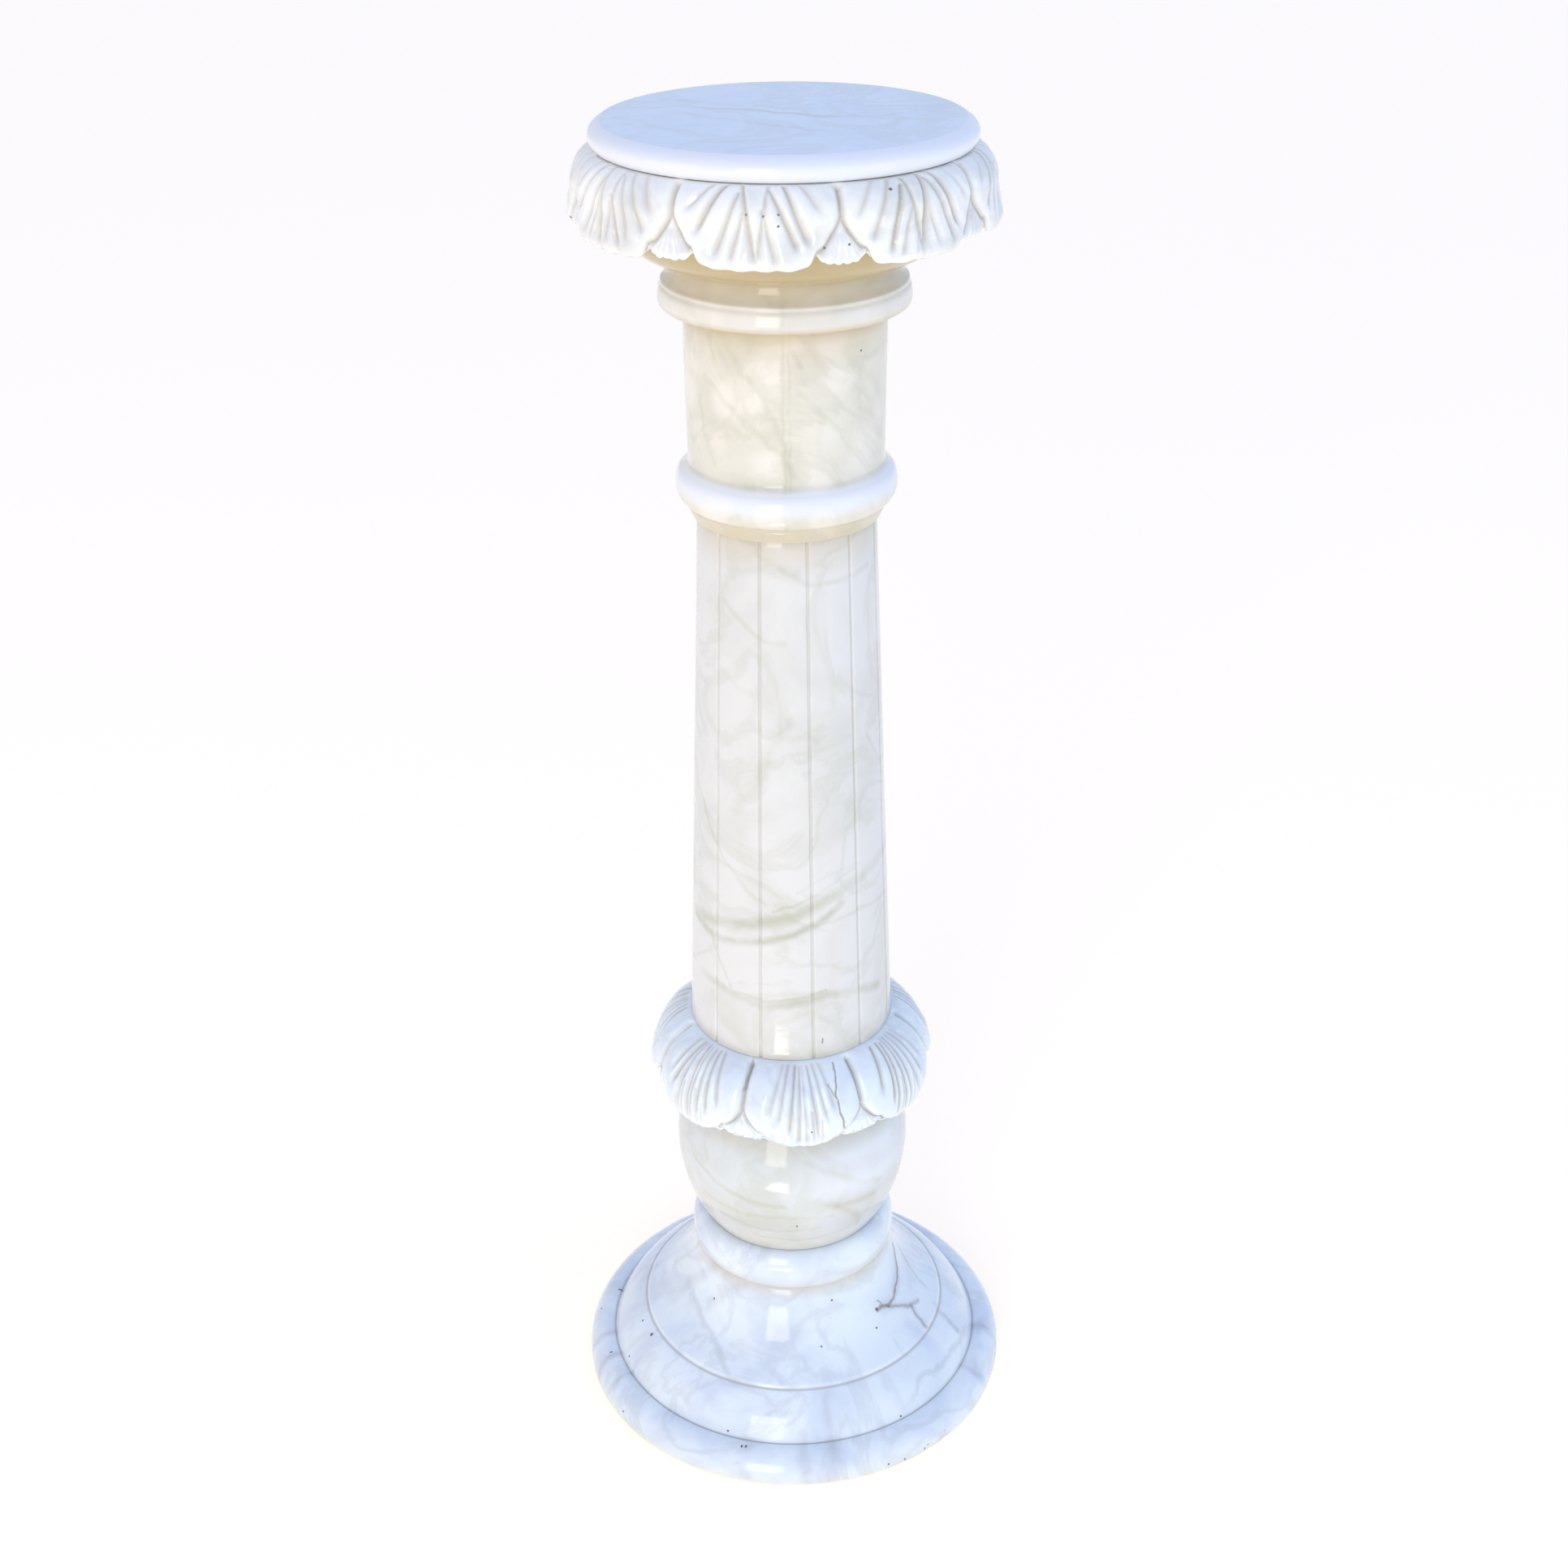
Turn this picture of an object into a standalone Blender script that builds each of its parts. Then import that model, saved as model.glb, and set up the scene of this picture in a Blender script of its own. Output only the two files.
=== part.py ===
"""Pedestal column of turned and carved alabaster, in metres, +Z up.

The origin is the centre of the underside. The stones stand on each other, from the base up:
base, ball, leaf collar, shaft, neck, leaf capital and top slab. The camera side is -Y.
"""

import math

import bmesh
import bpy

SEAM = 0.0003  # the thin bed between two stones

# Base: rim, two cut grooves, hollow cone and the ring that carries the ball
BASE_RADIUS = 0.1700
RIM_CHAMFER = 0.0012
RIM_EDGE = 0.0050  # upright part of the rim
RIM_ROUND = 0.0185  # height of the rim's rounding
RIM_DEPTH = 0.0212  # from the rim's edge in to the outer groove
BAND_HEIGHT = 0.0305
BAND_DEPTH = 0.0275  # from the outer groove in to the inner groove
BAND_SWELL = 0.0030
GROOVE_WIDTH = 0.0022
GROOVE_DEPTH = 0.0018
CONE_HEIGHT = 0.0625
CONE_HOLLOW = 0.0080
RING_LOWER = 0.0145  # from the ring's foot up to its widest line
RING_UPPER = 0.0180
RING_BULGE = 0.0098  # how far the ring swells beyond its flat top
RING_QUIRK = 0.0042  # how far the cone's top stands back under the ring
SEAT_MARGIN = 0.0008  # the ring's flat top is wider than the ball's foot

# Ball: a bulb cut flat at its foot and its crown
BALL_RADIUS = 0.0905
BALL_LOWER = 0.0697  # from the foot up to the widest line
BALL_UPPER = 0.0610
BALL_FOOT_IN = 0.0205  # how far the edge of the foot stands in from the widest line
BALL_CROWN_IN = 0.0305

# Leaf collar over the ball
COLLAR_LEAVES = 7
COLLAR_TURN = 4.5  # degrees from the camera side to the nearest leaf
COLLAR_HANG = 0.0065  # how far the hem hangs below the bed on the ball
COLLAR_CURL = 0.0150  # from the hem up to the widest line
COLLAR_SHOULDER = 0.0445  # from the widest line up to the bed of the shaft
COLLAR_SHOULDER_TURN = 72.0  # degrees that the shoulder curves through
COLLAR_OUT = 0.0293  # how far the leaves swell beyond their top edge
COLLAR_HEM_IN = 0.0050
COLLAR_LIP = 0.0080
COLLAR_CARVING = 0.0028
COLLAR_NOTCH = 0.0090
COLLAR_UNDERCUT = 0.0050
SHAFT_MARGIN = 0.0010  # the collar's flat top is wider than the shaft's foot

# Shaft
SHAFT_HEIGHT = 0.4045
SHAFT_FOOT_RADIUS = 0.0767
SHAFT_TOP_RADIUS = 0.0617
FLUTES = 12
FLUTE_TURN = 12.5  # degrees from the camera side to the nearest flute
FLUTE_WIDTH = 0.0042
FLUTE_DEPTH = 0.0018

# Neck: fillet, bead, drum, band and cove in one stone. Each is set out from the one below it.
FILLET_HEIGHT = 0.0103
FILLET_OUT = 0.0033  # how far the fillet's foot stands out over the shaft
FILLET_FLARE = 0.0042
BEAD_HEIGHT = 0.0245
BEAD_QUIRK = 0.0010  # depth of the line between fillet and bead
BEAD_OUT = 0.0075
DRUM_HEIGHT = 0.1090
DRUM_IN = 0.0090  # from the bead's widest line in to the drum
DRUM_FLARE = 0.0010
DRUM_FILLET = 0.0040
NECK_BAND_HEIGHT = 0.0150
NECK_BAND_OUT = 0.0158
NECK_BAND_EDGE = 0.0040
NECK_LIP = 0.0020
NECK_LIP_IN = 0.0017  # from the band's widest line in to the lip
NECK_COVE_HEIGHT = 0.0150
NECK_COVE_IN = 0.0070  # from the lip in to the neck's top edge
NECK_COVE_HOLLOW = 0.0024

# Leaf capital: bowl and hanging leaves in one stone
CAPITAL_LEAVES = 8
CAPITAL_TURN = -7.9  # degrees from the camera side to the nearest leaf
BOWL_MARGIN = 0.0004  # the bowl's foot stands in from the neck's top edge
BOWL_HEIGHT = 0.0370
BOWL_SWELL = 0.0090
BOWL_LEDGE = 0.0092  # the flat ring between the bowl and the backs of the leaves
LEAF_HANG = 0.0110  # how far the hem hangs below the bowl's edge
LEAF_CURL = 0.0102  # from the hem up to the widest line
LEAF_SHOULDER = 0.0350  # from the widest line up to the bed of the slab
LEAF_OUT = 0.0174  # how far the leaves swell beyond their top edge
LEAF_HEM_IN = 0.0030
LEAF_LIP = 0.0090
LEAF_CARVING = 0.0028
LEAF_NOTCH = 0.0050
LEAF_MARGIN = 0.0012  # the leaves start this far outside the slab's foot

# Top slab
SLAB_RADIUS = 0.1240
SLAB_NOSE = 0.0085  # from the widest line up to the flat top
SLAB_UNDER = 0.0075  # from the widest line down to the bed
SLAB_NOSE_IN = 0.0080
SLAB_FOOT_IN = 0.0054

# How finely round forms are cut
TURNED_STEPS = 40
NECK_STEPS = 36
BALL_STEPS = 32

# The carved lines of half a leaf, from its rib out to the small tip between two leaves: place as
# a share of the half leaf at the shoulder and at the hem, height as a share of the carving, and
# how far the hem is lifted there as a share of the notch.
LEAF_LINES = (
    (0.000, 0.00, 1.0, 0.00),
    (0.140, 0.05, -0.6, 0.00),
    (0.200, 0.24, 0.8, 0.03),
    (0.300, 0.44, -0.5, 0.10),
    (0.620, 0.62, 1.0, 0.40),
    (0.960, 0.76, -1.3, 1.00),
    (0.980, 0.88, -0.6, 0.45),
    (1.000, 1.00, -0.1, 0.20),
)

# Heights of the beds between the stones, worked out from the base up
RIM_TOP = RIM_EDGE + RIM_ROUND
CONE_TOP = RIM_TOP + BAND_HEIGHT + CONE_HEIGHT
BASE_TOP = CONE_TOP + RING_LOWER + RING_UPPER
BALL_FOOT = BASE_TOP + SEAM
BALL_TOP = BALL_FOOT + BALL_LOWER + BALL_UPPER
COLLAR_FOOT = BALL_TOP + SEAM
COLLAR_HEM = COLLAR_FOOT - COLLAR_HANG
COLLAR_TOP = COLLAR_HEM + COLLAR_CURL + COLLAR_SHOULDER
SHAFT_FOOT = COLLAR_TOP + SEAM
SHAFT_TOP = SHAFT_FOOT + SHAFT_HEIGHT
NECK_FOOT = SHAFT_TOP + SEAM
BEAD_FOOT = NECK_FOOT + FILLET_HEIGHT
DRUM_FOOT = BEAD_FOOT + BEAD_HEIGHT
DRUM_TOP = DRUM_FOOT + DRUM_HEIGHT
NECK_LIP_FOOT = DRUM_TOP + NECK_BAND_HEIGHT
NECK_TOP = NECK_LIP_FOOT + NECK_COVE_HEIGHT
CAPITAL_FOOT = NECK_TOP + SEAM
BOWL_TOP = CAPITAL_FOOT + BOWL_HEIGHT
LEAF_HEM = BOWL_TOP - LEAF_HANG
CAPITAL_TOP = LEAF_HEM + LEAF_CURL + LEAF_SHOULDER
SLAB_FOOT = CAPITAL_TOP + SEAM
SLAB_TOP = SLAB_FOOT + SLAB_UNDER + SLAB_NOSE

# Radii that one stone takes from its neighbour
BALL_FOOT_RADIUS = BALL_RADIUS - BALL_FOOT_IN
BALL_CROWN_RADIUS = BALL_RADIUS - BALL_CROWN_IN
SEAT_RADIUS = BALL_FOOT_RADIUS + SEAT_MARGIN
COLLAR_TOP_RADIUS = SHAFT_FOOT_RADIUS + SHAFT_MARGIN
FILLET_FOOT_RADIUS = SHAFT_TOP_RADIUS + FILLET_OUT
FILLET_TOP_RADIUS = FILLET_FOOT_RADIUS + FILLET_FLARE
QUIRK_RADIUS = FILLET_TOP_RADIUS - BEAD_QUIRK
BEAD_RADIUS = QUIRK_RADIUS + BEAD_OUT
DRUM_FOOT_RADIUS = BEAD_RADIUS - DRUM_IN
DRUM_TOP_RADIUS = DRUM_FOOT_RADIUS + DRUM_FLARE
NECK_BAND_RADIUS = DRUM_TOP_RADIUS + NECK_BAND_OUT
NECK_LIP_RADIUS = NECK_BAND_RADIUS - NECK_LIP_IN
NECK_TOP_RADIUS = NECK_LIP_RADIUS - NECK_COVE_IN
SLAB_FOOT_RADIUS = SLAB_RADIUS - SLAB_FOOT_IN
LEAF_TOP_RADIUS = SLAB_FOOT_RADIUS + LEAF_MARGIN


def arc(middle, reach, first, last, steps):
    """Points of an elliptical arc about middle, in degrees, as (radius, height)."""
    angles = [math.radians(first + (last - first) * i / steps) for i in range(steps + 1)]
    return [(middle[0] + reach[0] * math.cos(a), middle[1] + reach[1] * math.sin(a)) for a in angles]


def bowed(start, end, bow, steps):
    """Points between start and end on a line that bows to its left, or its right where negative."""
    run = (end[0] - start[0], end[1] - start[1])
    length = math.hypot(*run)
    points = []
    for i in range(1, steps):
        share = i / steps
        off = 4.0 * bow * share * (1.0 - share) / length
        points.append((start[0] + run[0] * share - run[1] * off, start[1] + run[1] * share + run[0] * off))
    return points


def alabaster(name, colour):
    """Polished alabaster of one tint."""
    stone = bpy.data.materials.new(name)
    stone.use_nodes = True
    shader = stone.node_tree.nodes["Principled BSDF"]
    shader.inputs["Base Color"].default_value = (*colour, 1.0)
    shader.inputs["Roughness"].default_value = 0.22
    shader.inputs["Metallic"].default_value = 0.0
    return stone


def add_stone(name, mesh, colour):
    """Links a mesh into the scene as one stone and returns its object."""
    stone = bpy.data.objects.new(name, mesh)
    stone.data.materials.append(alabaster(name + "_alabaster", colour))
    bpy.context.scene.collection.objects.link(stone)
    return stone


def turned(name, profile, steps, colour):
    """A stone turned on the lathe. Its profile runs from the axis at the top to the axis below."""
    points = [(radius, 0.0, height) for radius, height in profile]
    mesh = bpy.data.meshes.new(name)
    mesh.from_pydata(points, [(i, i + 1) for i in range(len(points) - 1)], [])
    lathe = add_stone(name, mesh, colour).modifiers.new("Lathe", "SCREW")
    lathe.axis = "Z"
    lathe.steps = lathe.render_steps = steps
    lathe.use_merge_vertices = True
    lathe.merge_threshold = 0.00001
    lathe.use_smooth_shade = True


def skinned(name, rings, colour):
    """A closed stone from rings of points, from its lower bed round the outside to its upper bed."""
    shape = bmesh.new()
    loops = [[shape.verts.new(point) for point in ring] for ring in rings]
    for lower, upper in zip(loops, loops[1:]):
        for i, corner in enumerate(lower):
            shape.faces.new((lower[i - 1], corner, upper[i], upper[i - 1]))
    shape.faces.new(loops[0][::-1])
    shape.faces.new(loops[-1])
    mesh = bpy.data.meshes.new(name)
    shape.to_mesh(mesh)
    shape.free()
    mesh.shade_smooth()
    mesh.set_sharp_from_angle(angle=math.radians(40.0))
    add_stone(name, mesh, colour)


def around(radius, height, degrees):
    """The point at an angle from the camera side, counted towards +X."""
    turn = math.radians(degrees)
    return (radius * math.sin(turn), -radius * math.cos(turn), height)


def leaf_columns(leaves, turn):
    """One entry for each carved line round a ring: leaf angle, shares, height and hem lift."""
    left = [(-top, -hem, height, lift) for top, hem, height, lift in LEAF_LINES[:0:-1]]
    lines = left + list(LEAF_LINES[:-1])
    return [(turn + 360.0 * leaf / leaves, *line) for leaf in range(leaves) for line in lines]


def leaf_rings(leaves, turn, outline, carving, notch):
    """Rings of carved leaves that follow an outline from the hem up to the shoulder."""
    half_leaf = 180.0 / leaves
    last = len(outline) - 1
    rings = []
    for row, (radius, height) in enumerate(outline):
        down = 1.0 - row / last
        fan = down * down * (3.0 - 2.0 * down)
        relief = carving * min(1.0, 6.0 * down) * min(1.0, 0.6 + 2.0 * (1.0 - down))
        rise = notch * max(0.0, 1.6 * down - 0.6)
        ring = []
        for middle, top, hem, line, lift in leaf_columns(leaves, turn):
            degrees = middle + half_leaf * (top + (hem - top) * fan)
            ring.append(around(radius + relief * line, height + rise * lift, degrees))
        rings.append(ring)
    return rings


def plain_rings(leaves, turn, outline, notch=0.0):
    """Plain rings with a point under each carved line of the hem, lifted with it by notch."""
    half_leaf = 180.0 / leaves
    rings = []
    for radius, height in outline:
        ring = []
        for middle, _, hem, _, lift in leaf_columns(leaves, turn):
            ring.append(around(radius, height + notch * lift, middle + half_leaf * hem))
        rings.append(ring)
    return rings


def make_base():
    ring_radius = SEAT_RADIUS + RING_BULGE
    cone_radius = ring_radius - RING_QUIRK
    ring_widest = CONE_TOP + RING_LOWER
    outer = BASE_RADIUS - RIM_DEPTH
    inner = outer - BAND_DEPTH
    cone_foot = CONE_TOP - CONE_HEIGHT
    half = GROOVE_WIDTH / 2
    band = ((inner + half, cone_foot - half), (outer - half, RIM_TOP + half))
    profile = [(0.0, BASE_TOP)]
    profile += arc((SEAT_RADIUS, ring_widest), (RING_BULGE, RING_UPPER), 90, 0, 3)
    profile += arc((cone_radius, ring_widest), (RING_QUIRK, RING_LOWER), 0, -90, 3)[1:]
    profile += bowed((cone_radius, CONE_TOP), (inner - half, cone_foot + half), -CONE_HOLLOW, 5)
    profile += [(inner - half, cone_foot + half), (inner, cone_foot - GROOVE_DEPTH)]
    profile += [band[0], *bowed(*band, BAND_SWELL, 3), band[1]]
    profile += [(outer, RIM_TOP - GROOVE_DEPTH)]
    profile += arc((outer + half, RIM_EDGE), (RIM_DEPTH - half, RIM_ROUND), 90, 0, 4)
    profile += [(BASE_RADIUS, RIM_CHAMFER), (BASE_RADIUS - RIM_CHAMFER, 0.0), (0.0, 0.0)]
    turned("base", profile, TURNED_STEPS, (0.80, 0.82, 0.88))


def make_ball():
    middle = (0.0, BALL_FOOT + BALL_LOWER)
    crown = math.acos(BALL_CROWN_RADIUS / BALL_RADIUS)
    foot = math.acos(BALL_FOOT_RADIUS / BALL_RADIUS)
    upper = (BALL_RADIUS, BALL_UPPER / math.sin(crown))
    lower = (BALL_RADIUS, BALL_LOWER / math.sin(foot))
    profile = [(0.0, BALL_TOP)]
    profile += arc(middle, upper, math.degrees(crown), 0, 4)
    profile += arc(middle, lower, 0, -math.degrees(foot), 4)[1:]
    profile += [(0.0, BALL_FOOT)]
    turned("ball", profile, BALL_STEPS, (0.86, 0.85, 0.78))


def make_leaf_collar():
    leaves = (COLLAR_LEAVES, COLLAR_TURN)
    hem_radius = COLLAR_TOP_RADIUS + COLLAR_OUT - COLLAR_HEM_IN
    back = hem_radius - COLLAR_LIP
    widest = COLLAR_HEM + COLLAR_CURL
    under = [(BALL_CROWN_RADIUS, COLLAR_FOOT), (back, COLLAR_FOOT + COLLAR_UNDERCUT)]
    turn = math.radians(COLLAR_SHOULDER_TURN)
    shoulder = (COLLAR_OUT / (1.0 - math.cos(turn)), COLLAR_SHOULDER / math.sin(turn))
    middle = (COLLAR_TOP_RADIUS + COLLAR_OUT - shoulder[0], widest)
    outline = arc((hem_radius, widest), (COLLAR_HEM_IN, COLLAR_CURL), -90, 0, 2)
    outline += arc(middle, shoulder, 0, COLLAR_SHOULDER_TURN, 5)[1:]
    rings = plain_rings(*leaves, under)
    rings += plain_rings(*leaves, [(back, COLLAR_HEM + COLLAR_LIP / 4)], COLLAR_NOTCH)
    rings += leaf_rings(*leaves, outline, COLLAR_CARVING, COLLAR_NOTCH)
    skinned("leaf_collar", rings, (0.84, 0.86, 0.90))


def make_shaft():
    rings = []
    panel_half = 180.0 / FLUTES
    for radius, height in ((SHAFT_FOOT_RADIUS, SHAFT_FOOT), (SHAFT_TOP_RADIUS, SHAFT_TOP)):
        flute_half = math.degrees(FLUTE_WIDTH / 2 / radius)
        ring = []
        for flute in range(FLUTES):
            middle = FLUTE_TURN + 360.0 * flute / FLUTES
            ring.append(around(radius, height, middle - flute_half))
            ring.append(around(radius - FLUTE_DEPTH, height, middle - flute_half / 3))
            ring.append(around(radius - FLUTE_DEPTH, height, middle + flute_half / 3))
            ring.append(around(radius, height, middle + flute_half))
            ring += [around(radius, height, middle + panel_half * share) for share in (0.6, 1.0, 1.4)]
        rings.append(ring)
    skinned("shaft", rings, (0.86, 0.86, 0.83))


def make_neck():
    under_lip = NECK_LIP_RADIUS - NECK_LIP / 2
    band_foot = DRUM_TOP + NECK_BAND_EDGE
    band = (NECK_BAND_RADIUS - under_lip, NECK_LIP_FOOT - band_foot)
    cove = ((NECK_TOP_RADIUS, NECK_TOP), (NECK_LIP_RADIUS, NECK_LIP_FOOT + NECK_LIP))
    profile = [(0.0, NECK_TOP), cove[0], *bowed(*cove, -NECK_COVE_HOLLOW, 3), cove[1]]
    profile += [(under_lip, NECK_LIP_FOOT), *arc((under_lip, band_foot), band, 60, 0, 2)]
    profile += [(NECK_BAND_RADIUS - NECK_BAND_EDGE, DRUM_TOP), (DRUM_TOP_RADIUS, DRUM_TOP)]
    profile += [(DRUM_FOOT_RADIUS, DRUM_FOOT + DRUM_FILLET)]
    profile += arc((QUIRK_RADIUS, BEAD_FOOT + BEAD_HEIGHT / 2), (BEAD_OUT, BEAD_HEIGHT / 2), 72, -90, 6)
    profile += [(FILLET_TOP_RADIUS, BEAD_FOOT - BEAD_QUIRK), (FILLET_FOOT_RADIUS, NECK_FOOT)]
    profile += [(0.0, NECK_FOOT)]
    turned("neck", profile, NECK_STEPS, (0.87, 0.85, 0.77))


def make_leaf_capital():
    leaves = (CAPITAL_LEAVES, CAPITAL_TURN)
    hem_radius = LEAF_TOP_RADIUS + LEAF_OUT - LEAF_HEM_IN
    back = hem_radius - LEAF_LIP
    widest = LEAF_HEM + LEAF_CURL
    bowl = ((NECK_TOP_RADIUS - BOWL_MARGIN, CAPITAL_FOOT), (back - BOWL_LEDGE, BOWL_TOP))
    under = [bowl[0], *bowed(*bowl, -BOWL_SWELL, 3), bowl[1], (back, BOWL_TOP)]
    outline = arc((hem_radius, widest), (LEAF_HEM_IN, LEAF_CURL), -90, 0, 2)
    outline += arc((LEAF_TOP_RADIUS, widest), (LEAF_OUT, LEAF_SHOULDER), 0, 90, 4)[1:]
    rings = plain_rings(*leaves, under)
    rings += plain_rings(*leaves, [(back, LEAF_HEM + LEAF_LIP / 4)], LEAF_NOTCH)
    rings += leaf_rings(*leaves, outline, LEAF_CARVING, LEAF_NOTCH)
    skinned("leaf_capital", rings, (0.87, 0.87, 0.84))


def make_top_slab():
    nose = SLAB_TOP - SLAB_NOSE
    profile = [(0.0, SLAB_TOP)]
    profile += arc((SLAB_RADIUS - SLAB_NOSE_IN, nose), (SLAB_NOSE_IN, SLAB_NOSE), 90, 0, 3)
    profile += arc((SLAB_FOOT_RADIUS, nose), (SLAB_FOOT_IN, SLAB_UNDER), 0, -90, 3)[1:]
    profile += [(0.0, SLAB_FOOT)]
    turned("top_slab", profile, TURNED_STEPS, (0.82, 0.84, 0.88))


def main():
    for old in list(bpy.data.objects):
        bpy.data.objects.remove(old)
    make_base()
    make_ball()
    make_leaf_collar()
    make_shaft()
    make_neck()
    make_leaf_capital()
    make_top_slab()


main()
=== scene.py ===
import math

import bpy
import numpy as np
from bpy.props import FloatProperty, FloatVectorProperty, IntProperty, PointerProperty
from mathutils import Matrix, Vector


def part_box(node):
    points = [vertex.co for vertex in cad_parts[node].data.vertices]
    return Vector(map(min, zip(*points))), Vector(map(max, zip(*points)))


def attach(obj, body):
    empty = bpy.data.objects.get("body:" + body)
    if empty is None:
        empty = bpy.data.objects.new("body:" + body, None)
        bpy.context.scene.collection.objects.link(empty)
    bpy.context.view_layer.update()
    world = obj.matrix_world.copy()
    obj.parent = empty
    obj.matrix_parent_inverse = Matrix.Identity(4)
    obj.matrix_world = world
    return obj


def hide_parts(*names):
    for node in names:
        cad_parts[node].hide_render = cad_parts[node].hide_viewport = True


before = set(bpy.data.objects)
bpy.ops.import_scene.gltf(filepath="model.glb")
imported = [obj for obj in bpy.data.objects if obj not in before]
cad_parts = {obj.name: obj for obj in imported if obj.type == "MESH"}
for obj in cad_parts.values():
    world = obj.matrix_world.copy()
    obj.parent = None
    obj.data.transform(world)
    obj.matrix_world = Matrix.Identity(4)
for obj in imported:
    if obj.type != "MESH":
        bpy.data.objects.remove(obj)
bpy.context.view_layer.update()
BOX = {node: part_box(node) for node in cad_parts}
MM = 0.001
# Points nearer than this are one point
MERGE_DISTANCE = 0.00001
# Rings of faces from the axis to the edge of a flat bed
BED_RINGS = 5

bl_info = {
    "name": "Alabaster pedestal column",
    "version": (1, 0, 0),
    "blender": (4, 5, 0),
    "location": "3D View > Sidebar > Pedestal",
    "description": "Turns and carves the stones of an alabaster pedestal column and sets its stage",
    "category": "Object",
}


def foot(node):
    """Height of a stone's lower bed."""
    return BOX[node][0][2]


def crown(node):
    """Height of a stone's upper bed."""
    return BOX[node][1][2]


def widest(node):
    """Largest radius of a stone."""
    return BOX[node][1][0]


def length(name, description, default):
    """A size in metres that a user can change."""
    return FloatProperty(name=name, description=description, default=default, unit="LENGTH", precision=4)


def count(name, description, default):
    """A number of things that a user can change."""
    return IntProperty(name=name, description=description, default=default, min=3)


def bearing(name, description, default):
    """A direction in degrees that a user can change."""
    return FloatProperty(name=name, description=description, default=default)


def power(name, description, default):
    """The power of a light, which a user can change."""
    return FloatProperty(name=name, description=description, default=default, unit="POWER")


def colour(name, description, value):
    """A colour that a user can change, kept as linear values."""
    return FloatVectorProperty(name=name, description=description, default=linear(value), size=3,
                               subtype="COLOR", min=0.0, max=1.0)


def linear(value):
    """Linear red, green and blue of an sRGB hex colour."""
    channels = [int(value[i:i + 2], 16) / 255.0 for i in (1, 3, 5)]
    return tuple(c / 12.92 if c <= 0.04045 else ((c + 0.055) / 1.055) ** 2.4 for c in channels)


# Sizes and colours that a user can change


class BaseSettings(bpy.types.PropertyGroup):
    rim_edge: length("Rim edge", "Height of the upright part of the rim", 0.0050)
    rim_round: length("Rim rounding", "Height of the rim's rounding", 0.0185)
    rim_depth: length("Rim depth", "From the edge in to the outer groove", 0.0212)
    band_height: length("Band height", "Rise of the band between the grooves", 0.0305)
    band_depth: length("Band depth", "From the outer groove in to the inner groove", 0.0275)
    band_swell: length("Band swell", "How far the band bows out", 0.0030)
    groove_width: length("Groove width", "Width of the two cut grooves", 0.0022)
    groove_depth: length("Groove depth", "Depth of the two cut grooves", 0.0018)
    cone_height: length("Cone height", "Rise of the hollow cone", 0.0625)
    cone_hollow: length("Cone hollow", "How far the cone bows in", 0.0080)
    ring_lower: length("Ring, lower part", "From the ring's foot to its widest line", 0.0145)
    ring_bulge: length("Ring bulge", "How far the ring swells beyond its flat top", 0.0098)
    ring_quirk: length("Ring quirk", "How far the cone stands back under the ring", 0.0042)
    seat_radius: length("Seat radius", "Radius of the ring's flat top", 0.0708)


class BallSettings(bpy.types.PropertyGroup):
    lower: length("Lower part", "From the foot up to the widest line", 0.0697)
    foot_radius: length("Foot radius", "Radius of the flat foot", 0.0700)
    crown_radius: length("Crown radius", "Radius of the flat crown", 0.0600)


class CollarSettings(bpy.types.PropertyGroup):
    leaves: count("Leaves", "Number of leaves round the collar", 7)
    turn: bearing("Turn", "Degrees from the front to the nearest leaf", 4.5)
    hang: length("Hang", "How far the hem hangs below the bed", 0.0065)
    curl: length("Curl", "From the hem up to the widest line", 0.0150)
    shoulder: length("Shoulder", "From the widest line up to the bed", 0.0445)
    top_radius: length("Top radius", "Radius of the flat top", 0.0777)
    out: length("Swell", "How far the leaves swell beyond the flat top", 0.0293)
    hem_in: length("Hem", "How far the hem stands in from the widest line", 0.0050)
    lip: length("Lip", "Thickness of the leaves at the hem", 0.0080)
    undercut: length("Undercut", "Rise of the bed behind the hem", 0.0050)
    notch: length("Notch", "Rise of the hem between two leaves", 0.0026)
    relief: length("Relief", "How far the leaves stand above the ground", 0.0056)


class ShaftSettings(bpy.types.PropertyGroup):
    foot_radius: length("Foot radius", "Radius at the lower bed", 0.0767)
    top_radius: length("Top radius", "Radius at the upper bed", 0.0617)
    flutes: count("Flutes", "Number of narrow grooves", 12)
    turn: bearing("Turn", "Degrees from the front to the nearest flute", 12.5)
    flute_width: length("Flute width", "Width of a groove at the face", 0.0030)
    flute_depth: length("Flute depth", "Depth of a groove", 0.0013)


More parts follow.
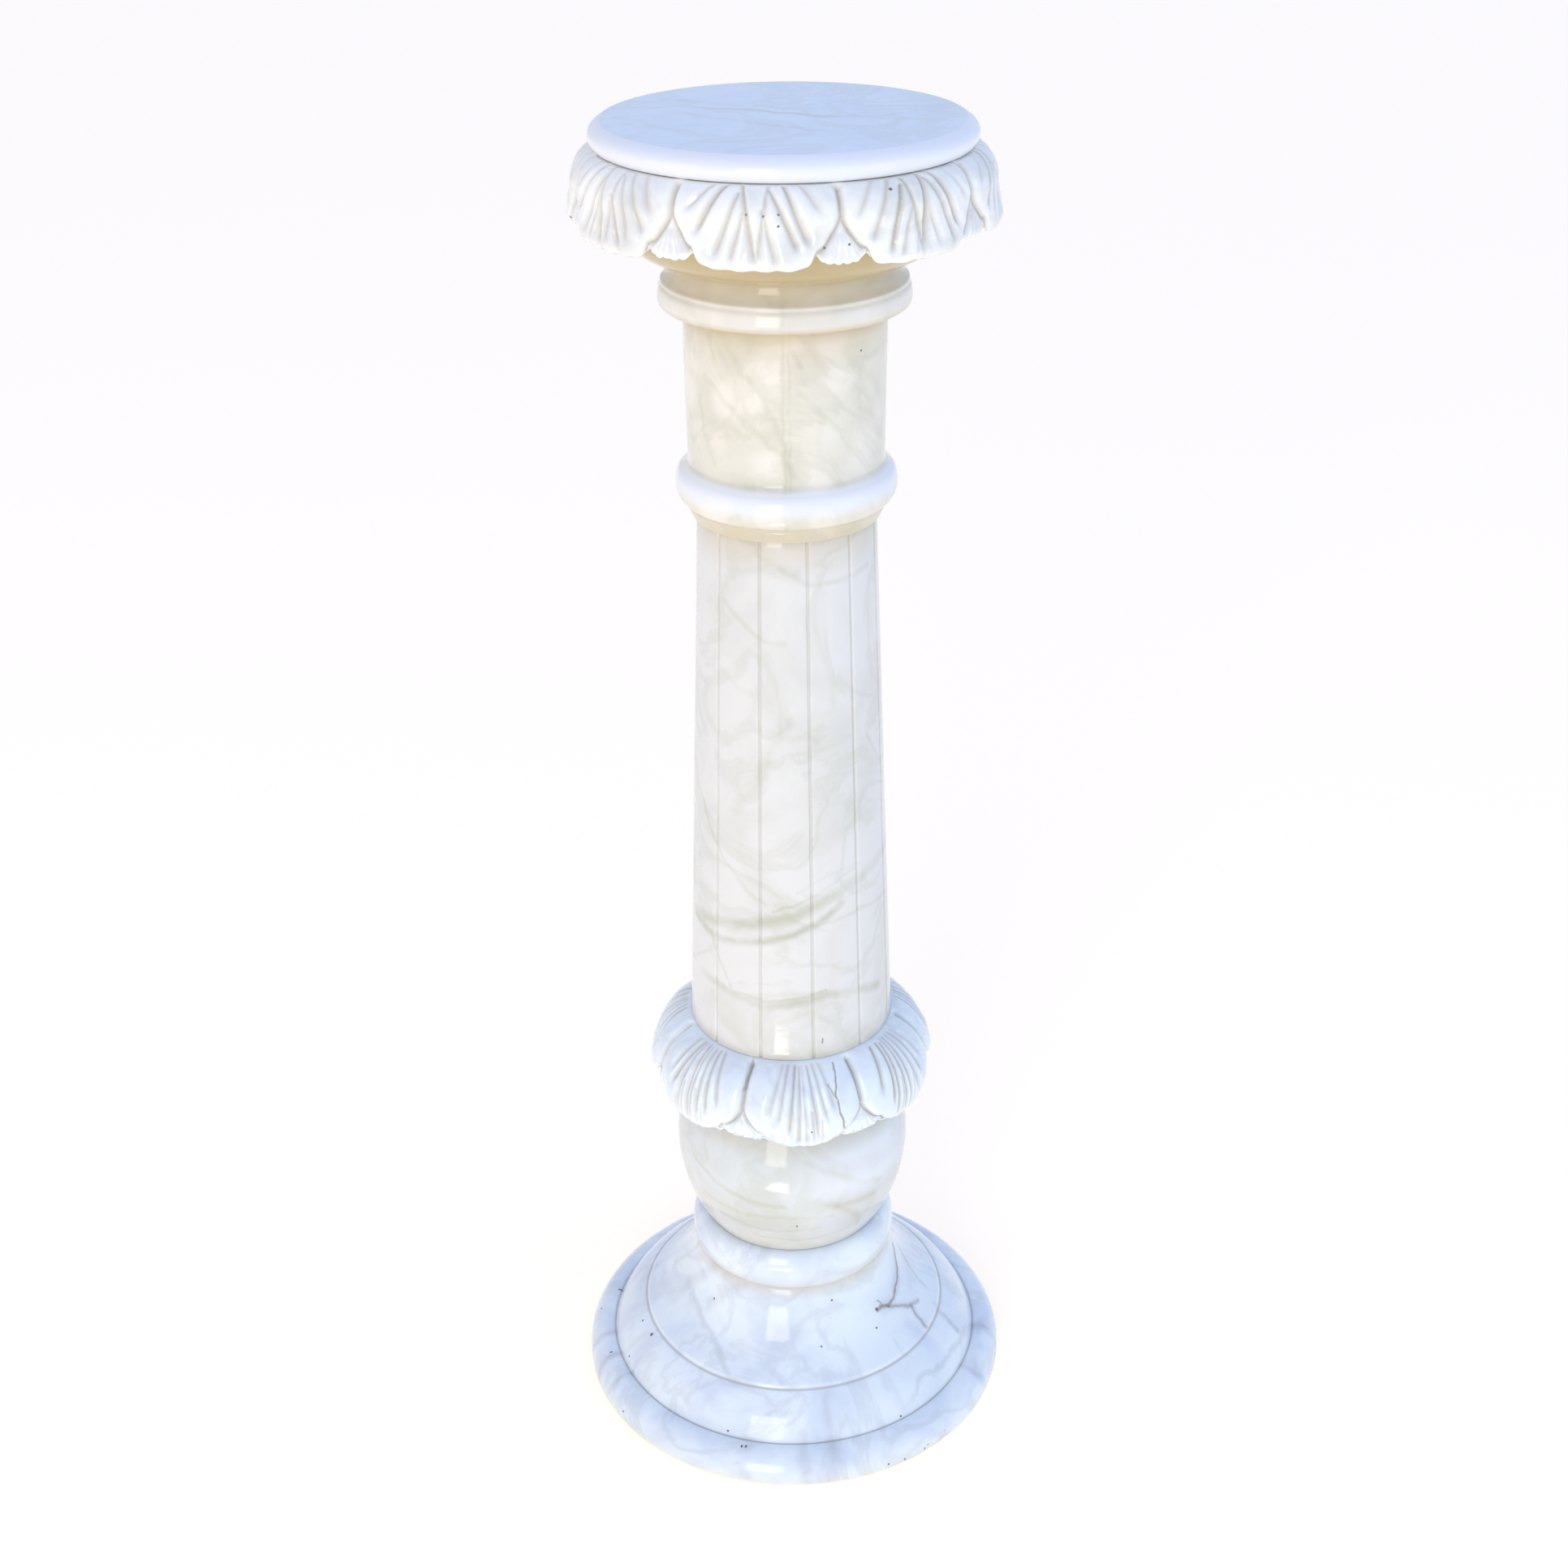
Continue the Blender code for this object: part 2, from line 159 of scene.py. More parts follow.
class NeckSettings(bpy.types.PropertyGroup):
    fillet_height: length("Fillet height", "Height of the flared fillet", 0.0103)
    fillet_foot: length("Fillet foot radius", "Radius of the fillet's foot", 0.0650)
    fillet_top: length("Fillet top radius", "Radius of the fillet's top", 0.0692)
    bead_height: length("Bead height", "Height of the half-round bead", 0.0245)
    bead_quirk: length("Bead quirk", "Depth of the line under the bead", 0.0010)
    bead_out: length("Bead swell", "How far the bead stands out", 0.0075)
    drum_foot: length("Drum foot radius", "Radius of the drum's foot", 0.0667)
    drum_top: length("Drum top radius", "Radius of the drum's top", 0.0677)
    drum_height: length("Drum height", "Height of the plain drum", 0.1090)
    band_height: length("Band height", "Height of the rounded band", 0.0150)
    band_radius: length("Band radius", "Largest radius of the band", 0.0835)
    band_edge: length("Band edge", "Size of the band's lower edge", 0.0040)
    lip: length("Lip", "Height of the small lip over the band", 0.0020)
    lip_radius: length("Lip radius", "Radius of the small lip", 0.0818)
    top_radius: length("Top radius", "Radius at the upper bed", 0.0748)
    hollow: length("Cove hollow", "How far the cove bows in", 0.0024)


class CapitalSettings(bpy.types.PropertyGroup):
    leaves: count("Leaves", "Number of leaves round the capital", 8)
    turn: bearing("Turn", "Degrees from the front to the nearest leaf", -7.9)
    foot_radius: length("Foot radius", "Radius of the bowl's foot", 0.0744)
    bowl_height: length("Bowl height", "Height of the bowl", 0.0370)
    bowl_swell: length("Bowl swell", "How far the bowl bows out", 0.0090)
    ledge: length("Ledge", "Flat ring behind the leaves", 0.0092)
    hang: length("Hang", "How far the hem hangs below the bowl's edge", 0.0110)
    curl: length("Curl", "From the hem up to the widest line", 0.0102)
    top_radius: length("Top radius", "Radius of the flat top", 0.1198)
    out: length("Swell", "How far the leaves swell beyond the flat top", 0.0174)
    hem_in: length("Hem", "How far the hem stands in from the widest line", 0.0030)
    lip: length("Lip", "Thickness of the leaves at the hem", 0.0090)
    notch: length("Notch", "Rise of the hem between two leaves", 0.0034)
    relief: length("Relief", "How far the leaves stand above the ground", 0.0048)


class SlabSettings(bpy.types.PropertyGroup):
    under: length("Lower rounding", "From the bed up to the widest line", 0.0075)
    nose_in: length("Upper rounding", "From the widest line in to the flat top", 0.0080)
    foot_in: length("Foot", "How far the bed stands in from the widest line", 0.0054)


class StoneSettings(bpy.types.PropertyGroup):
    white: colour("White", "Body of the white stones", "#F6F5F1")
    cool: colour("Cool white", "Body of the bluish stones", "#E9F0F2")
    ivory: colour("Ivory", "Body of the neck", "#E4E0D2")
    pale: colour("Pale", "Body of the ball", "#DBDFDF")
    vein: colour("Vein", "Olive grey of the veins", "#BBBBA4")
    # Painted shade in the cuts, with some dirt: the warm grey they are darkened towards
    hollow: colour("Hollow", "Warm grey in the cuts", "#B9AE96")
    # Painted shade: the warm glow and shade of stone under other parts, laid into its colour
    warm: colour("Warm", "Stone that only sees light from below", "#BBA97F")
    crack: colour("Crack", "Greyish brown of the cracks", "#847763")
    pit: colour("Pit", "Dark of the pinholes", "#6E665E")


class StageSettings(bpy.types.PropertyGroup):
    window: power("Window", "Power of the tall light in front", 30.5)
    side: power("Side", "Power of the cool light on the right", 6.5)
    gleam: power("Gleam", "Power of the sunlit patch on the floor in front", 0.7)
    fill: power("Fill", "Power of the warm light on the left", 7.0)
    above: colour("Light from above", "Cool light from straight above", "#C6D6FD")
    left: colour("Light from the left", "Pale light near the horizon on the left", "#DDDCDC")
    right: colour("Light from the right", "Cool light near the horizon on the right", "#D7E8FF")
    floor: colour("Floor", "Pale floor", "#F4F4F3")


SETTINGS = {
    "pedestal_base": BaseSettings,
    "pedestal_ball": BallSettings,
    "pedestal_collar": CollarSettings,
    "pedestal_shaft": ShaftSettings,
    "pedestal_neck": NeckSettings,
    "pedestal_capital": CapitalSettings,
    "pedestal_slab": SlabSettings,
    "pedestal_stone": StoneSettings,
    "pedestal_stage": StageSettings,
}


# Profiles


def arc(middle, reach, first, last, steps):
    """Points of an elliptical arc about middle, in degrees, as (radius, height)."""
    angles = [math.radians(first + (last - first) * i / steps) for i in range(steps + 1)]
    return [(middle[0] + reach[0] * math.cos(a), middle[1] + reach[1] * math.sin(a)) for a in angles]


def reach_of(run, rise, degrees):
    """Reach of an ellipse whose arc from 0 to so many degrees comes in by run and climbs by rise."""
    turn = math.radians(degrees)
    return run / (1.0 - math.cos(turn)), rise / math.sin(turn)


def bowed(start, end, bow, steps):
    """Points from start to end on a line that bows to its left, or its right where negative."""
    run = (end[0] - start[0], end[1] - start[1])
    span = math.hypot(*run)
    points = []
    for i in range(steps + 1):
        share = i / steps
        off = 4.0 * bow * share * (1.0 - share) / span
        points.append((start[0] + run[0] * share - run[1] * off,
                       start[1] + run[1] * share + run[0] * off))
    return points


def worn(profile, spacing, passes):
    """The profile cut to even steps, with its edges rounded as polishing leaves them."""
    points = np.array(profile)
    runs = np.hypot(*np.diff(points, axis=0).T)
    points = points[np.r_[True, runs > 1e-7]]
    along = np.r_[0.0, np.cumsum(runs[runs > 1e-7])]
    steps = max(3, int(round(along[-1] / spacing)))
    even = np.linspace(0.0, along[-1], steps + 1)
    cut = np.column_stack([np.interp(even, along, points[:, k]) for k in (0, 1)])
    for _ in range(passes):
        cut[1:-1] = 0.25 * cut[:-2] + 0.5 * cut[1:-1] + 0.25 * cut[2:]
    return cut


def capped(outside, rings=BED_RINGS):
    """An outside profile with flat beds from the axis at its top and its foot."""
    top = [(outside[0][0] * i / rings, outside[0][1]) for i in range(rings)]
    under = [(outside[-1][0] * (rings - 1 - i) / rings, outside[-1][1]) for i in range(rings)]
    return np.array(top + [tuple(p) for p in outside] + under)


# Turning and carving


def turn_on_lathe(name, profile, steps, crease=50.0):
    """Spins a profile, from the axis at the top to the axis below, into a closed stone."""
    bpy.ops.object.select_all(action="DESELECT")
    bpy.ops.mesh.primitive_plane_add(size=0.01, location=(profile[0][0], 0.0, profile[0][1]))
    stone = bpy.context.object
    stone.name = stone.data.name = name
    bpy.ops.object.transform_apply(location=True, rotation=False, scale=False)
    bpy.ops.object.mode_set(mode="EDIT")
    bpy.ops.mesh.select_all(action="SELECT")
    bpy.ops.mesh.merge(type="CENTER")
    for here, there in zip(profile[:-1], profile[1:]):
        step = (float(there[0] - here[0]), 0.0, float(there[1] - here[1]))
        bpy.ops.mesh.extrude_region_move(TRANSFORM_OT_translate={"value": step})
    bpy.ops.object.mode_set(mode="OBJECT")
    bpy.ops.object.modifier_add(type="SCREW")
    lathe = stone.modifiers[-1]
    lathe.axis = "Z"
    lathe.steps = lathe.render_steps = steps
    lathe.use_merge_vertices = True
    lathe.merge_threshold = MERGE_DISTANCE
    bpy.ops.object.modifier_apply(modifier=lathe.name)
    bpy.ops.object.mode_set(mode="EDIT")
    bpy.ops.mesh.select_all(action="SELECT")
    bpy.ops.mesh.remove_doubles(threshold=MERGE_DISTANCE)
    bpy.ops.mesh.normals_make_consistent(inside=False)
    bpy.ops.object.mode_set(mode="OBJECT")
    bpy.ops.object.shade_smooth_by_angle(angle=math.radians(crease))
    return stone


def points_of(stone):
    """The stone's points as an array of x, y and z."""
    flat = np.empty(len(stone.data.vertices) * 3)
    stone.data.vertices.foreach_get("co", flat)
    return flat.reshape(-1, 3)


def set_points(stone, points):
    """Moves the stone's points."""
    stone.data.vertices.foreach_set("co", points.reshape(-1))
    stone.data.update()


def keep_values(stone, name, values):
    """Keeps one number for each point, for the material to read."""
    kept = stone.data.attributes.new(name, "FLOAT", "POINT")
    kept.data.foreach_set("value", values.astype(np.float32))


def radius_of(points):
    """Distance of each point from the axis."""
    return np.hypot(points[:, 0], points[:, 1])


def angle_of(points):
    """Degrees from the front towards +X."""
    return np.degrees(np.arctan2(points[:, 0], -points[:, 1]))


def smooth(value, low, high):
    """Rises smoothly from 0 at low to 1 at high."""
    share = np.clip((value - low) / (high - low), 0.0, 1.0)
    return share * share * (3.0 - 2.0 * share)


def waves(points, size, seed):
    """Slow irregular waves of about the given size, between -1 and 1."""
    rng = np.random.default_rng(seed)
    total = np.zeros(len(points))
    for _ in range(6):
        direction = rng.normal(size=3)
        direction *= rng.uniform(0.7, 1.5) / (size * np.linalg.norm(direction))
        total += np.sin(points @ direction * math.tau + rng.uniform(0.0, math.tau))
    return total / 6.0


def fit_to_profile(points, profile):
    """For each point its row and place along the profile and the profile's outward normal there."""
    radius = radius_of(points)
    along = np.r_[0.0, np.cumsum(np.hypot(*np.diff(profile, axis=0).T))]
    tangent = np.gradient(profile, axis=0)
    tangent /= np.maximum(np.hypot(*tangent.T), 1e-9)[:, None]
    row = np.empty(len(points), int)
    for start in range(0, len(points), 20000):
        part = slice(start, start + 20000)
        across = (radius[part, None] - profile[None, :, 0]) ** 2
        row[part] = (across + (points[part, 2, None] - profile[None, :, 1]) ** 2).argmin(axis=1)
    return row, along[row], np.column_stack([-tangent[row, 1], tangent[row, 0]])


def chip(points, place, size, depth):
    """Knocks a shallow flake out of the stone at place, which lies on its face."""
    away = np.linalg.norm(points - np.array(place), axis=1)
    inward = np.array([-place[0], -place[1], 0.0]) / math.hypot(place[0], place[1])
    return points + inward * (depth * (1.0 - smooth(away, size * 0.35, size)))[:, None]


# Carved cuts of half a leaf: share of the half leaf where the cut starts at the top and where it
# ends at the hem, how high up the leaf it starts and ends, depth and half width in millimetres
CAPITAL_CUTS = (
    (0.150, 0.020, 1.00, 0.00, 3.4, 4.2),
    (0.100, 0.280, 0.66, 0.00, 2.8, 3.8),
    (0.170, 0.460, 0.90, 0.10, 3.4, 4.6),
    (0.310, 0.630, 1.00, 0.26, 3.4, 5.2),
    (0.520, 0.790, 1.00, 0.52, 2.4, 6.0),
    (0.050, 0.140, 0.34, 0.00, 1.6, 2.4),
)
COLLAR_CUTS = (
    (0.020, 0.050, 1.00, 0.00, 2.8, 3.6),
    (0.120, 0.240, 0.98, 0.12, 3.2, 4.0),
    (0.230, 0.420, 1.00, 0.28, 3.5, 4.2),
    (0.360, 0.570, 1.00, 0.42, 3.3, 4.4),
    (0.140, 0.160, 0.52, 0.02, 2.0, 3.0),
    (0.270, 0.330, 0.40, 0.05, 1.5, 2.8),
)
# How wide the leaf is above its small neighbour, how high up the leaves join, how round their lower
# corners are, how far the hem flares out in millimetres, and how far it is lifted all round as a
# share of the notch
CAPITAL_LEAF = (0.76, 0.62, 0.09, 2.6, 0.5)
COLLAR_LEAF = (0.70, 0.46, 0.26, 0.0, 1.1)
# Every leaf, in millimetres: how far in from its edge the pillow rises, the height of the tip beside it
# and the depth of its rays, and the depth and width of the cut along the edge
PILLOW_RISE, TIP_HEIGHT, RAY_DEPTH, EDGE_DEPTH, EDGE_WIDTH = 5.0, 1.8, 0.8, 2.0, 1.7
# The depth at which a cut's painted shade is darkest, and the width of the notch in the hem, in
# millimetres
DARKEST_CUT, NOTCH_WIDTH = 3.8, 2.4
# How far the carving is set back from the turned face, as a share of the relief, so that the leaves
# and the cuts lie about it
SET_BACK = 0.62
# How uneven the carved face is: depth in millimetres and length in metres of two sets of waves
UNEVEN = ((0.35, 0.035), (0.18, 0.012))


def leaf_ground(share, up, half_leaf_mm, style, relief_mm):
    """The leaf's pillow and the tip beside it, in millimetres, and how near a point is to the edge."""
    narrow, join, corner, flare_mm, _ = style
    across = np.abs(share)
    rounding = corner * np.clip(1.0 - up / 0.26, 0.0, 1.0) ** 2
    width = narrow + (1.0 - narrow) * smooth(up, 0.04, join) - rounding
    inside = (width - across) * half_leaf_mm
    leaf = relief_mm * (1.0 - np.exp(-np.maximum(inside, 0.0) / PILLOW_RISE))
    span = np.maximum(1.0 - width, 0.02)
    tip_share = np.clip((1.0 - across) / span, 0.0, 1.0)
    tip = TIP_HEIGHT * (1.0 - tip_share ** 2) * smooth(span, 0.02, 0.20)
    rays = np.cos(tip_share * 6.0 * math.pi + 0.8 * np.sign(share))
    tip -= RAY_DEPTH * smooth(rays, -0.6, 1.0) * smooth(span, 0.03, 0.12)
    edge = np.exp(-np.abs(inside / EDGE_WIDTH) ** 1.3)
    ground = np.where(inside > 0.0, leaf, tip * smooth(-inside, 0.0, 1.6)) - EDGE_DEPTH * edge
    flare = flare_mm * ((1.0 - smooth(up, 0.0, 0.20)) - 0.6 * np.exp(-((up - 0.38) / 0.15) ** 2))
    return ground + flare, edge


def leaf_cuts(share, up, half_leaf_mm, cuts, rng):
    """What the gouge takes out of a leaf, in millimetres, and how deep each point lies, from 0 to 1,
    which darkens the cut as painted shade.
    """
    taken = np.zeros(len(share))
    deep = np.zeros(len(share))
    for top, hem, start, end, depth, half_width in cuts:
        for side in (-1.0, 1.0):
            top_here = top + rng.uniform(-0.025, 0.025)
            hem_here = hem + rng.uniform(-0.05, 0.05)
            start_here = start - rng.uniform(0.0, 0.06)
            end_here = max(0.0, end + rng.uniform(-0.08, 0.08))
            depth_here = depth * rng.uniform(0.6, 1.15)
            down = np.clip((start_here - up) / (start_here - end_here), 0.0, 1.2)
            place = top_here + (hem_here - top_here) * down ** rng.uniform(0.75, 1.15)
            off = (share * side - place) * half_leaf_mm
            broad = half_width * rng.uniform(0.85, 1.15) * (1.30 - 0.50 * up)
            scaled = np.where(off > 0.0, off / (1.25 * broad), -off / (0.75 * broad))
            reach = smooth(up, end_here - 0.04, end_here + 0.14)
            reach = reach * (1.0 - smooth(up, start_here - 0.01, start_here + 0.04))
            cut = np.clip(1.0 - scaled, 0.0, 1.0) ** 1.4 * reach
            taken = np.maximum(taken, depth_here * cut)
            deep = np.maximum(deep, cut ** 1.3 * depth_here / DARKEST_CUT)
    return taken, deep


def hem_lift(share, half_leaf_mm, style, rng):
    """How far the hem is lifted, as a share of the notch: most beside a leaf, less under the tip."""
    narrow, raised = style[0], style[-1]
    across = np.abs(share)
    edge_mm = (across - narrow + 0.05) * half_leaf_mm
    side = np.where(share < 0.0, *rng.uniform(0.7, 1.15, size=2))
    notch = np.exp(-(edge_mm / NOTCH_WIDTH) ** 2)
    corner = 0.35 * np.clip(across / narrow, 0.0, 1.0) ** 4
    tip = 0.25 * np.clip(edge_mm / 6.0, 0.0, 1.0)
    nick = 0.10 * np.sin(share * rng.uniform(17.0, 25.0) + rng.uniform(0.0, 6.0))
    return side * (notch + corner - tip) + nick + raised


def carve_leaves(stone, profile, front_rows, settings, cuts, style, seed):
    """Carves hanging leaves on the first rows below the top bed and notches their hem."""
    top_row = BED_RINGS
    hem_row = top_row + front_rows - 1
    points = points_of(stone)
    row, along, normal = fit_to_profile(points, profile)
    lengths = np.r_[0.0, np.cumsum(np.hypot(*np.diff(profile, axis=0).T))]
    past_hem = along - lengths[hem_row]
    up = np.clip(-past_hem / (lengths[hem_row] - lengths[top_row]), 0.0, 1.0)
    radius = radius_of(points)
    turned = (angle_of(points) - settings.turn) * settings.leaves / 360.0
    leaf = np.round(turned)
    share = (turned - leaf) * 2.0
    half_leaf_mm = 1000.0 * radius * math.pi / settings.leaves
    front = (row >= top_row) & (row <= hem_row)
    relief_mm = 1000.0 * settings.relief
    ground, edge = leaf_ground(share, up, half_leaf_mm, style, relief_mm)
    deep = 0.9 * edge
    lift = np.zeros(len(points))
    for number in range(settings.leaves):
        rng = np.random.default_rng(seed + number)
        mine = (leaf.astype(int) % settings.leaves) == number
        taken, cut_deep = leaf_cuts(share[mine], up[mine], half_leaf_mm[mine], cuts, rng)
        ground[mine] -= taken
        deep[mine] = np.maximum(deep[mine], cut_deep)
        lift[mine] = hem_lift(share[mine], half_leaf_mm[mine], style, rng)
    ground -= SET_BACK * relief_mm
    ground += sum(depth * waves(points, size, seed + i) for i, (depth, size) in enumerate(UNEVEN))
    keep = smooth(1.0 - up, 0.0, 0.06) * np.where(front, 1.0, 0.0)
    move = MM * ground * keep
    outward = points[:, :2] / np.maximum(radius, 1e-6)[:, None]
    points[:, :2] += outward * (move * normal[:, 0])[:, None]
    points[:, 2] += np.where((normal[:, 1] < 0.0) | (ground < 0.0), move * normal[:, 1], 0.0)
    hem = np.where(front, np.clip(1.0 - up / 0.55, 0.0, 1.0), 0.0)
    behind = (row > hem_row) & (past_hem < 1.3 * settings.lip)
    hem = np.where(behind, 1.0 - smooth(past_hem, 0.55 * settings.lip, 1.3 * settings.lip), hem)
    points[:, 2] += settings.notch * lift * hem
    set_points(stone, points)
    # The cuts and the leaves' edges are darkened by their depth: painted shade, with some dirt
    keep_values(stone, "cut_depth", np.clip(deep * keep, 0.0, 1.0))
    return past_hem


# Materials: polished alabaster, a translucent white gypsum with grey olive veins


def set_inputs(tree, node, inputs):
    """Sets a node's inputs, each to a value or to the link from a socket."""
    for socket, value in inputs.items():
        if isinstance(value, bpy.types.NodeSocket):
            tree.links.new(value, node.inputs[socket])
        else:
            node.inputs[socket].default_value = value


def add_node(tree, kind, inputs=None, out=0, **settings):
    """Adds a shader node with its settings and its inputs, and gives one output."""
    made = tree.nodes.new(kind)
    for key, value in settings.items():
        setattr(made, key, value)
    set_inputs(tree, made, inputs or {})
    return made.outputs[out]


def stone_colour(value):
    """Linear colour of an sRGB hex value, or of the stone setting of that name."""
    return linear(value) if value[0] == "#" else getattr(bpy.context.scene.pedestal_stone, value)


def stain(tree, tone, tint, share, strength=1.0):
    """Lays a tint over a tone, each a socket or a linear colour, by a share and its strength."""
    sides = [side if isinstance(side, bpy.types.NodeSocket) else (*side, 1.0) for side in (tone, tint)]
    amount = add_node(tree, "ShaderNodeMath", {0: share, 1: strength}, operation="MULTIPLY")
    return add_node(tree, "ShaderNodeMix", {0: amount, 6: sides[0], 7: sides[1]}, 2, data_type="RGBA")


# How large the patterns of the stone are, as the scales of their noises
SWAY_SCALE, WEB_SCALE, BLOB_SCALE, PIT_SCALE, JAG_SCALE = 28.0, 9.0, 34.0, 45.0, 90.0
# How far vein sheets waver and drawn lines jag, in metres
WAVER, JAG = 0.025, 0.005
# How strongly the fine veins and the painted shade and dirt in the cuts show
WEB_STRENGTH, CUT_SHADE_STRENGTH = 0.20, 0.75


def vein_sheet(tree, where, waver, place, normal, half_width, reach):
    """Share of a vein at a point: a wavy sheet through place that fades at reach."""
    off = add_node(tree, "ShaderNodeVectorMath", {0: where, 1: MM * Vector(place)}, operation="SUBTRACT")
    flat = add_node(tree, "ShaderNodeVectorMath", {0: off, 1: Vector(normal).normalized()}, "Value",
                    operation="DOT_PRODUCT")
    wavy = add_node(tree, "ShaderNodeMath", {0: flat, 1: waver}, operation="ADD")
    bare = add_node(tree, "ShaderNodeMath", {0: wavy}, operation="ABSOLUTE")
    band = add_node(tree, "ShaderNodeMapRange", {"Value": bare, "From Min": MM * half_width,
                    "From Max": 0.0}, interpolation_type="SMOOTHSTEP")
    away = add_node(tree, "ShaderNodeVectorMath", {0: off}, "Value", operation="LENGTH")
    near = add_node(tree, "ShaderNodeMapRange", {"Value": away, "From Min": MM * reach,
                    "From Max": MM * reach / 2}, interpolation_type="SMOOTHSTEP")
    return add_node(tree, "ShaderNodeMath", {0: band, 1: near}, operation="MULTIPLY")


def unrolled(tree, where, radius):
    """The stone's face laid flat: metres round from the front, and height, with a little jag."""
    parts = add_node(tree, "ShaderNodeSeparateXYZ", {0: where}).node.outputs
    front = add_node(tree, "ShaderNodeMath", {0: parts["Y"], 1: -1.0}, operation="MULTIPLY")
    angle = add_node(tree, "ShaderNodeMath", {0: parts["X"], 1: front}, operation="ARCTAN2")
    round_it = add_node(tree, "ShaderNodeMath", {0: angle, 1: radius}, operation="MULTIPLY")
    flat = add_node(tree, "ShaderNodeCombineXYZ", {"X": round_it, "Y": parts["Z"]})
    noise = add_node(tree, "ShaderNodeTexNoise", {"Vector": where, "Scale": JAG_SCALE, "Detail": 3.0},
                     "Color")
    shift = add_node(tree, "ShaderNodeVectorMath", {0: noise, 1: (0.5, 0.5, 0.5)}, operation="SUBTRACT")
    shift = add_node(tree, "ShaderNodeVectorMath", {0: shift, 1: (JAG, JAG, 0.0)}, operation="MULTIPLY")
    return add_node(tree, "ShaderNodeVectorMath", {0: flat, 1: shift}, operation="ADD")


def nearest_of(tree, gaps):
    """The smallest of several distances."""
    nearest = gaps[0]
    for gap in gaps[1:]:
        nearest = add_node(tree, "ShaderNodeMath", {0: gap, 1: nearest}, operation="MINIMUM")
    return nearest


def drawn_line(tree, flat, radius, points, half_width):
    """Share of a thin line through points, each given as degrees from the front and a height."""
    laid = [Vector((math.radians(degrees) * radius, MM * height, 0.0)) for degrees, height in points]
    gaps = []
    for start, end in zip(laid, laid[1:]):
        run = end - start
        off = add_node(tree, "ShaderNodeVectorMath", {0: flat, 1: start}, operation="SUBTRACT")
        share = add_node(tree, "ShaderNodeVectorMath", {0: off, 1: run / run.length_squared}, "Value",
                         operation="DOT_PRODUCT")
        share = add_node(tree, "ShaderNodeClamp", {"Value": share})
        along = add_node(tree, "ShaderNodeVectorMath", {0: run, "Scale": share}, operation="SCALE")
        gaps.append(add_node(tree, "ShaderNodeVectorMath", {0: off, 1: along}, "Value",
                             operation="DISTANCE"))
    gap = nearest_of(tree, gaps)
    return add_node(tree, "ShaderNodeMapRange", {"Value": gap, "From Min": MM * half_width,
                    "From Max": 0.0}, interpolation_type="SMOOTHSTEP")


def pinholes(tree, where, spots):
    """Share of a small dark hole, looked at from outside and above."""
    gaps = []
    for x, y, z, radius in spots:
        outward = (Vector((x, y, 0.0)).normalized() + Vector((0.0, 0.0, 0.5))).normalized()
        off = add_node(tree, "ShaderNodeVectorMath", {0: where, 1: MM * Vector((x, y, z))},
                       operation="SUBTRACT")
        side = add_node(tree, "ShaderNodeVectorMath", {0: off, 1: outward / (MM * radius)},
                        operation="CROSS_PRODUCT")
        gaps.append(add_node(tree, "ShaderNodeVectorMath", {0: side}, "Value", operation="LENGTH"))
    gap = nearest_of(tree, gaps)
    return add_node(tree, "ShaderNodeMapRange", {"Value": gap, "From Min": 1.0, "From Max": 0.5})


